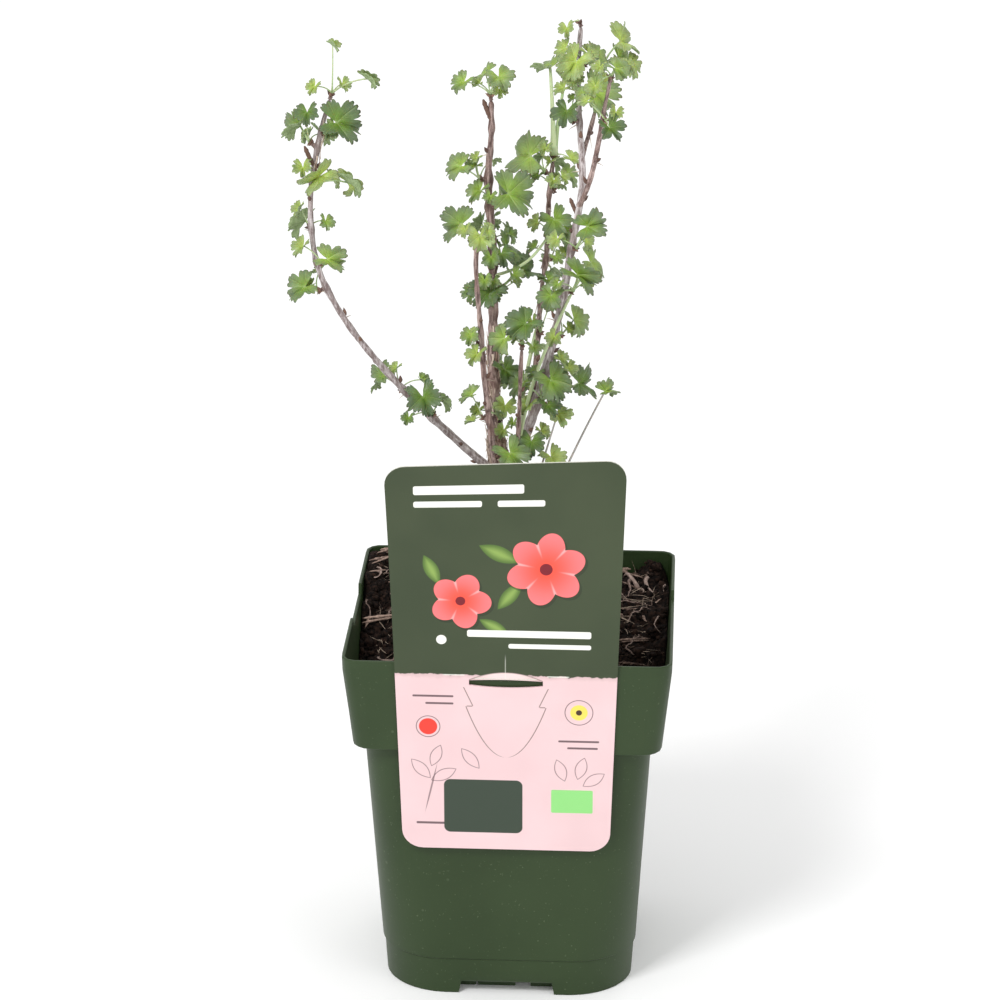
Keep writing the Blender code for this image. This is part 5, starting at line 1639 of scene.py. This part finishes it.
# %% Bud scales on the spurs
for name, spray in plan.items():
    chance = random.Random(seed_of(name, 3))
    outward = spray["outward"]
    for number in range(SCALES):
        away = spoke(outward, number * math.tau / SCALES + chance.uniform(-0.3, 0.3))
        foot = spray["hub"] - outward * chance.uniform(0.6, 1.2) * MM + away * 0.45 * MM
        line = point_line(foot, outward * 0.7 + away * 0.55, chance.uniform(1.4, 2.4) * MM, away * 0.2)
        add_point(buds, line, 0.42 * MM, 1.0, chance.uniform(0.0, 0.9), sides=5)
    if chance.random() < SPUR_SPINE_SHARE and not spray["at_tip"]:
        foot = spray["root"] + outward * spray["clear"] * 0.8 - spray["forward"] * 1.2 * MM
        add_spine(spines, foot, outward, 0.6, (3.5, 6.5), 0.26 * MM, chance)

# %% [markdown]
# Four dead stubs stand where shoots were cut or died back: blunt ringed tubes. The peeling bark is
# made of short flat tubes that lie along the limb, climb it or hang, and lift off toward one end.

# %% Stubs
STUBS = (("middle", 0.94, (-0.4, -0.1, 0.9), 8.0, 0.95), ("left", 0.86, (-0.4, -0.25, 0.85), 8.5, 0.85),
         ("right", 0.62, (-0.45, 0.2, 0.8), 7.0, 0.8), ("back", 0.7, (0.35, -0.2, 0.85), 6.0, 0.8))
STUB_RADII = (1 + 0.14 * np.cos(np.linspace(0, 5 * math.tau, 12))) * np.array([1.0] * 10 + [0.85, 0.35])
for limb, share, way, length, radius in STUBS:
    line = point_line(along(paths[limb], share)[0], way, length * MM, (0, 0, 0.15), len(STUB_RADII))
    buds.tube(line, radius * MM * STUB_RADII, 10, 0.35)
buds.build("buds", [plain_material("bud scale", (66, 44, 38), (146, 112, 94), 1200)], [], "young_bark")
thorn = plain_material("spine", (150, 128, 112), (206, 194, 178), 1500, 0.5)
spines.build("spines", [thorn], [], "young_bark")

# %% Peeling strips
STRIPS = (  # limb, how many, from and to which share of it, longest
    ("trunk", 60, 0.0, 0.75, 17), ("trunk", 110, 0.72, 0.99, 9), ("middle", 70, 0.0, 0.3, 9),
    ("front", 14, 0.0, 0.25, 9), ("left", 8, 0.84, 0.98, 8), ("back", 8, 0.3, 0.7, 8),
    ("right", 8, 0.0, 0.12, 8),
)
STRIP_THICK, CLIMBING = 0.1 * MM, 0.6


def flat_rings(line, wide, thick, across):
    """Rings of a flat strip along a line, wide in one direction and thin in the other."""
    ahead = unit(np.gradient(line, axis=0))
    side = unit(across - ahead * (ahead @ across)[:, None])
    out = np.cross(ahead, side)
    corners = ((-1, -1), (1, -1), (1, 1), (-1, 1))
    return np.stack([line + side * (a * wide)[:, None] + out * b * thick for a, b in corners], axis=1)


strips = Heap()
steps = np.linspace(0, 1, 8)[:, None]
for limb, count, low, high, longest in STRIPS:
    chance = np.random.default_rng(seed_of(limb, count))
    for _ in range(count):
        share, turn = chance.uniform(low, high), chance.uniform(0, math.tau)
        root, forward = along(paths[limb], share)
        outward = np.array(spoke(forward, turn))
        across = np.cross(outward, forward)
        length, climb = chance.uniform(0.35, 1) * longest * MM, 1 if chance.random() < CLIMBING else -1
        clear = limb_thickness(limb, share) * 1.02 + chance.uniform(0.0, 0.25) * MM
        line = np.array(root) + outward * (clear + steps ** 2 * chance.uniform(0.02, 0.13) * longest * MM)
        line = line + np.array(forward) * (steps - 0.4) * length * climb
        line = line + across * np.sin(steps * 3 + turn) * 0.6 * MM
        line[:, 2] = np.maximum(line[:, 2], SOIL_TOP + 0.6 * MM)
        wide = chance.uniform(0.02, 0.055) * longest * MM * (1 - 0.6 * steps[:, 0] ** 2)
        strips.add(*closed_tube(flat_rings(line, wide, STRIP_THICK, across)), tone=chance.uniform(0.1, 1.0))
peel = plain_material("peeling bark", (112, 78, 64), (218, 200, 184), 900)
strips.build("bark_strips", [peel], [], "old_bark")

# %% [markdown]
# ## Leaves
# A gooseberry leaf is a rounded fan with three to five lobes and blunt teeth, pleated along veins
# that spread from its stalk. One formula gives the edge: each lobe falls off from its own direction,
# the largest one wins, and small scallops are cut in. Height over the fan adds the pleats and curls.

# %% Leaf surface
LOBES = ((0, 1.0), (58, 0.96), (-58, 0.96), (116, 0.82), (-116, 0.82))
LOBE_SPACING, LEAF_SWEEP, LEAF_ROWS = 58.0, 150.0, 8
SCALLOPS_SMALL, SCALLOPS_BROAD, BROAD_FROM = 3, 5, 8.5 * MM
LEAF_SHEET = 0.2 * MM


def leaf_edge(angle, depth, notch, scallop):
    """The edge's distance at each angle, in blade lengths: blunt lobes parted by narrow clefts of this
    depth, size (1 - 0.05 t^2 - depth t^5) at t half widths from a lobe's middle, and scallops."""
    lobes = []
    for centre, size in LOBES:
        off = np.abs(angle - centre) / (LOBE_SPACING / 2)
        lobes.append(size * (1 - 0.05 * off ** 2 - depth * off ** 5))
    reach = np.max(lobes, axis=0)
    bump = np.abs(np.cos(np.pi * angle / scallop)) ** 0.45
    return np.maximum(reach, 0.3) * (1 - notch * (1 - bump))


def leaf_rise(angle, reach, chance, young, scallop):
    """Height over the fan: a valley at each main and side vein, lobes that lift or hang, a quilt of
    small swellings and a curled edge."""
    pleats = ((0.16, LOBE_SPACING), (0.02, scallop))
    ripple = sum(high * np.abs(np.sin(np.pi * angle / wide)) for high, wide in pleats)
    lift = sum(chance.uniform(-0.28, 0.2) * np.exp(-((angle - centre) / 24) ** 2) for centre, _ in LOBES)
    far = reach / np.max(reach)
    turn = np.radians(angle)
    flat = np.stack([reach * np.cos(turn), reach * np.sin(turn)], axis=-1) + chance.uniform(3, 90)
    quilt = 0.035 * noise(flat, 0.2, 51) * smooth(far / 0.4)
    return reach * ripple * (1 + 0.6 * young) + lift * far ** 2.2 - 0.07 * far ** 8 + quilt


print("a leaf spreads over", 2 * LEAF_SWEEP, "degrees")

# %% [markdown]
# A leaf is two sheets, one a hair under the other, that share their border. The height field is bent
# in two steps: its halves fold up about the midrib, and then it curls along its length. Where a
# bent leaf would leave the solids' box it is drawn a little smaller.

# %% Leaf shape


def leaf_faces(grid, under, poles):
    """Faces over and under a fan whose two sheets each have a point at the stalk, and which are lower."""
    count = grid.shape[1] - 1
    bodies, fans = [], []
    for sheet, pole in zip((grid, under), poles):
        body = [sheet[:-1, :-1], sheet[1:, :-1], sheet[1:, 1:], sheet[:-1, 1:]]
        bodies.append(np.stack(body, axis=-1).reshape(-1, 4))
        fans.append(np.stack([np.full(count, pole), sheet[0, :-1], sheet[0, 1:]], axis=-1))
    ends = [[*poles, grid[0, 0]], [poles[0], grid[0, -1], poles[1]]]
    lower = np.repeat([False, True, False, True], [len(bodies[0])] * 2 + [count, count + 2])
    fan = np.insert(np.concatenate([fans[0], fans[1][:, ::-1], ends]), 3, -1, axis=1)
    return np.concatenate([bodies[0], bodies[1][:, ::-1], fan]), lower


def bent(forward, sideways, rise, fold, curl):
    """The fan folded up by an angle about its midrib, then curled: an arc of length over curl."""
    side = sideways * math.cos(fold) - np.sign(sideways) * rise * math.sin(fold)
    rise = rise * math.cos(fold) + np.abs(sideways) * math.sin(fold)
    bend = curl * forward
    ahead = np.sin(bend) / curl + rise * np.sin(bend)
    return np.stack([ahead, side, rise * np.cos(bend) - (1 - np.cos(bend)) / curl], axis=-1)


def leaf_shape(leaf, chance):
    """Points, faces, lower faces and flat map of one leaf at its place."""
    blade = leaf["blade"] * leaf.get("size", 1.0)
    young = 1 - min(blade / (11 * MM), 1)
    scallop = LOBE_SPACING / (SCALLOPS_BROAD if blade > BROAD_FROM else SCALLOPS_SMALL)
    half_count = int(LEAF_SWEEP / (scallop / 4))
    angle = np.arange(-half_count, half_count + 1) * scallop / 4
    row = np.linspace(0, 1, LEAF_ROWS + 1)[1:] ** 0.8
    ragged = 1 + 0.05 * noise(angle[:, None] + 1000, 14.0, int(chance.integers(1, 9999)), 2)
    edge = leaf_edge(angle, chance.uniform(0.14, 0.38), chance.uniform(0.09, 0.14), scallop) * ragged
    reach, turn = edge[None] * row[:, None], np.radians(angle)[None]
    rise = leaf_rise(angle[None], reach, chance, young, scallop)
    fold = math.radians(leaf.get("fold", chance.uniform(2, 24) + 38 * young * chance.uniform(0.4, 1)))
    curl = leaf.get("curl", chance.uniform(0.1, 0.9))
    yaw = math.radians(leaf.get("yaw", chance.uniform(-38, 38)))
    forward, sideways = reach * np.cos(turn), reach * np.sin(turn)
    upper = np.array(leaf["upper"])
    ahead = math.cos(yaw) * np.array(leaf["ahead"]) + math.sin(yaw) * np.cross(upper, leaf["ahead"])
    axes = np.stack([ahead, np.cross(upper, ahead), upper])
    offset = blade * bent(forward, sideways, rise, fold, curl) @ axes
    joint = np.array(leaf["joint"])
    room = np.array([joint - np.array(cad_box[0]), np.array(cad_box[1]) - joint]) - LEAF_SHEET
    need = np.array([-offset.min(axis=(0, 1)), offset.max(axis=(0, 1))])
    top = joint + offset * min(1.0, float(np.min(room / np.maximum(need, 0.01 * MM))))
    low = top - unit(np.cross(np.gradient(top, axis=0), np.gradient(top, axis=1))) * LEAF_SHEET
    index = np.arange(row.size * angle.size).reshape(row.size, angle.size)
    under = index + index.size
    under[-1], under[:, 0], under[:, -1] = index[-1], index[:, 0], index[:, -1]
    faces, lower = leaf_faces(index, under, (2 * index.size, 2 * index.size + 1))
    flat = np.stack([forward, sideways], axis=-1).reshape(-1, 2)
    points = np.concatenate([top.reshape(-1, 3), low.reshape(-1, 3), [joint, joint - upper * LEAF_SHEET]])
    return points, faces, lower, np.concatenate([flat, flat, [[0, 0], [0, 0]]])


print("a leaf's sheets lie", round(LEAF_SHEET / MM, 1), "mm apart")

# %% [markdown]
# Young leaves are yellow green and older ones a deeper, greyer green: plain base colours dealt out
# leaf by leaf. Within a tint the material draws the veins and the darker margin from the leaf's flat
# map, which holds blade lengths from its stalk, and noise adds patches of painted shade.

# %% Leaf tints
TINTS = {  # blade near the stalk, margin and vein colours
    "fresh": ((170, 192, 84), (140, 158, 104), (196, 206, 148)),
    "young": ((148, 178, 68), (120, 138, 96), (180, 194, 128)),
    "full": ((126, 158, 52), (106, 124, 90), (160, 178, 108)),
    "deep": ((100, 132, 40), (88, 106, 76), (138, 158, 90)),
}


def scaled(paint, share):
    """A screen colour darkened to this share."""
    return colour(*(int(part * share) for part in paint))


def leaf_material(name, blade, margin, vein):
    """A leaf's upper face: colour by distance from the nearest main vein and from the stalk, with
    patches of painted shade by noise.
    """
    board = Board(name + " leaf")
    forward, sideways = board.flat()
    far = (forward * forward + sideways * sideways).maths("SQRT")
    angle = sideways.maths("ARCTAN2", forward).maths("ABSOLUTE") * (180 / math.pi)
    off_lobe = angle
    for number in (1, 2):
        off_lobe = off_lobe.maths("MINIMUM", (angle - number * LOBE_SPACING).maths("ABSOLUTE"))
    off_vein = off_lobe * far * (math.pi / 180)
    main = 1 - (off_vein - 0.006).within(0.0, 0.022)
    ribs = ((far - off_vein * 1.3) * 52).maths("SINE").within(0.6, 1.0)
    side = ribs * (1 - off_vein.within(0.05, 0.22)) * off_vein.within(0.01, 0.04)
    bump_and_shade_noise = board.noise(420, 4)
    outward = far.within(0.1, 0.85) + (board.noise(130, 2) - 0.5) * 0.7
    base = board.mix(outward, colour(*blade), colour(*margin))
    # painted shade: patches darkened by noise between the veins
    base = board.mix((bump_and_shade_noise - 0.35).within(0.0, 0.4) * 0.4, base, scaled(blade, 0.66))
    base = board.mix(main * 0.36 + side * 0.18, base, colour(*vein))
    base = board.mix(far.within(0.9, 0.98) * 0.3, base, scaled(margin, 0.8))
    height = (bump_and_shade_noise * 0.9 - main * 0.8 - side * 0.5) * far.within(0.03, 0.3)
    return board.finish(base, bump_and_shade_noise * 0.3 + 0.3, height, strength=0.5, distance=0.3 * MM,
                        Subsurface_Weight=0.1, Subsurface_Scale=0.5 * MM)


def underside_material():
    """A leaf's lower face: paler and greyer, with a soft down."""
    board = Board("leaf underside")
    down = board.noise(800, 3)
    base = board.mix(down.within(0.3, 0.7), colour(126, 146, 98), colour(150, 168, 124))
    return board.finish(base, 0.7, down, strength=0.2, distance=0.2 * MM)


leaf_materials = [leaf_material(name, *tint) for name, tint in TINTS.items()] + [underside_material()]
print(len(leaf_materials), "leaf finishes")

# %% Poses and tints by spray
FRESH, FULL, DEEP = 0, 2, 3
DEEP_SPRAYS = ("left_shade", "middle_left", "middle_right", "middle_low", "middle_hub",
               "back_dark", "short_foot", "left_outer", "left_foot", "middle_back", "right_broad")
FRESH_SPRAYS = ("left_tip", "middle_tip", "back_crown", "inner_crown", "right_top", "back_shoots",
                "outer_tip", "base_long", "base_pale", "front_tip", "left_arch", "middle_foot", "right_crest")
POSES = {  # the first leaves of sprays that the photograph shows well: turn, fold, curl and size
    "left_tip": ((30, 60, 1.0, 1.0), (35, 66, 1.4, 0.62)), "left_inner": ((72, 30, 0.7, 0.82),),
    "left_outer": ((-30, 50, 0.6, 1.2),), "left_arch": ((-58, 52, 2.0, 0.62), (25, 76, 2.2, 0.75)),
    "left_elbow": ((68, 36, 0.9, 0.7),), "left_shelf": ((-42, 24, 0.6, 1.0),),
    "left_low": ((-30, 30, 0.8, 1.0),), "left_foot": ((30, 26, 0.7, 1.0),),
    "middle_broad": ((66, 14, 0.6, 0.92),), "middle_left": ((-58, 26, 0.8, 0.86),),
    "middle_high": ((-50, 28, 0.8, 0.86),), "middle_low": ((35, 28, 0.8, 1.0),),
    "middle_right": ((75, 22, 0.8, 1.0),), "middle_hub": ((-35, 20, 0.8, 1.0),),
    "middle_reach": ((60, 34, 0.9, 1.0),), "short_foot": ((40, 24, 0.9, 0.8),),
    "short_tip": ((-60, 34, 0.9, 0.74),), "back_crown": ((-76, 16, 0.7, 0.9),),
    "right_fan": ((95, 34, 0.8, 0.74),), "right_skirt": ((50, 56, 1.2, 0.78),),
    "right_broad": ((24, 30, 1.1, 0.68),), "right_fork": ((62, 30, 0.8, 1.0),),
    "right_crest": ((-30, 34, 1.0, 0.86),), "right_shoulder": ((40, 30, 0.8, 1.0),),
    "inner_crown": ((60, 30, 0.8, 0.74),), "base_long": ((70, 40, 0.9, 0.8),),
    "outer_tip": ((40, 44, 1.2, 0.72),),
}
for name, poses in POSES.items():
    for leaf, pose in zip(plan[name]["leaves"], poses):
        leaf.update(zip(("yaw", "fold", "curl", "size"), pose))
print(sum(map(len, POSES.values())), "leaves posed by hand")

# %% Leaves on their limbs
SMALL_TINT = 5.5 * MM
for limb in paths:
    heap = Heap()
    members = [name for name, spray in plan.items() if spray["limb"] == limb]
    for name in members:
        chance = np.random.default_rng(seed_of(name, 5))
        usual = DEEP if name in DEEP_SPRAYS else FRESH if name in FRESH_SPRAYS else FULL
        for leaf in plan[name]["leaves"]:
            tint = usual - (leaf["blade"] < SMALL_TINT) * 2 + chance.integers(-1, 2)
            tint = int(np.clip(tint, FRESH, DEEP))
            points, faces, lower, flat = leaf_shape(leaf, chance)
            heap.add(points, faces, np.where(lower, len(TINTS), tint), chance.uniform(0.2, 0.8), flat)
    if members:
        heap.build("leaves_" + limb, leaf_materials, members, "leaves")
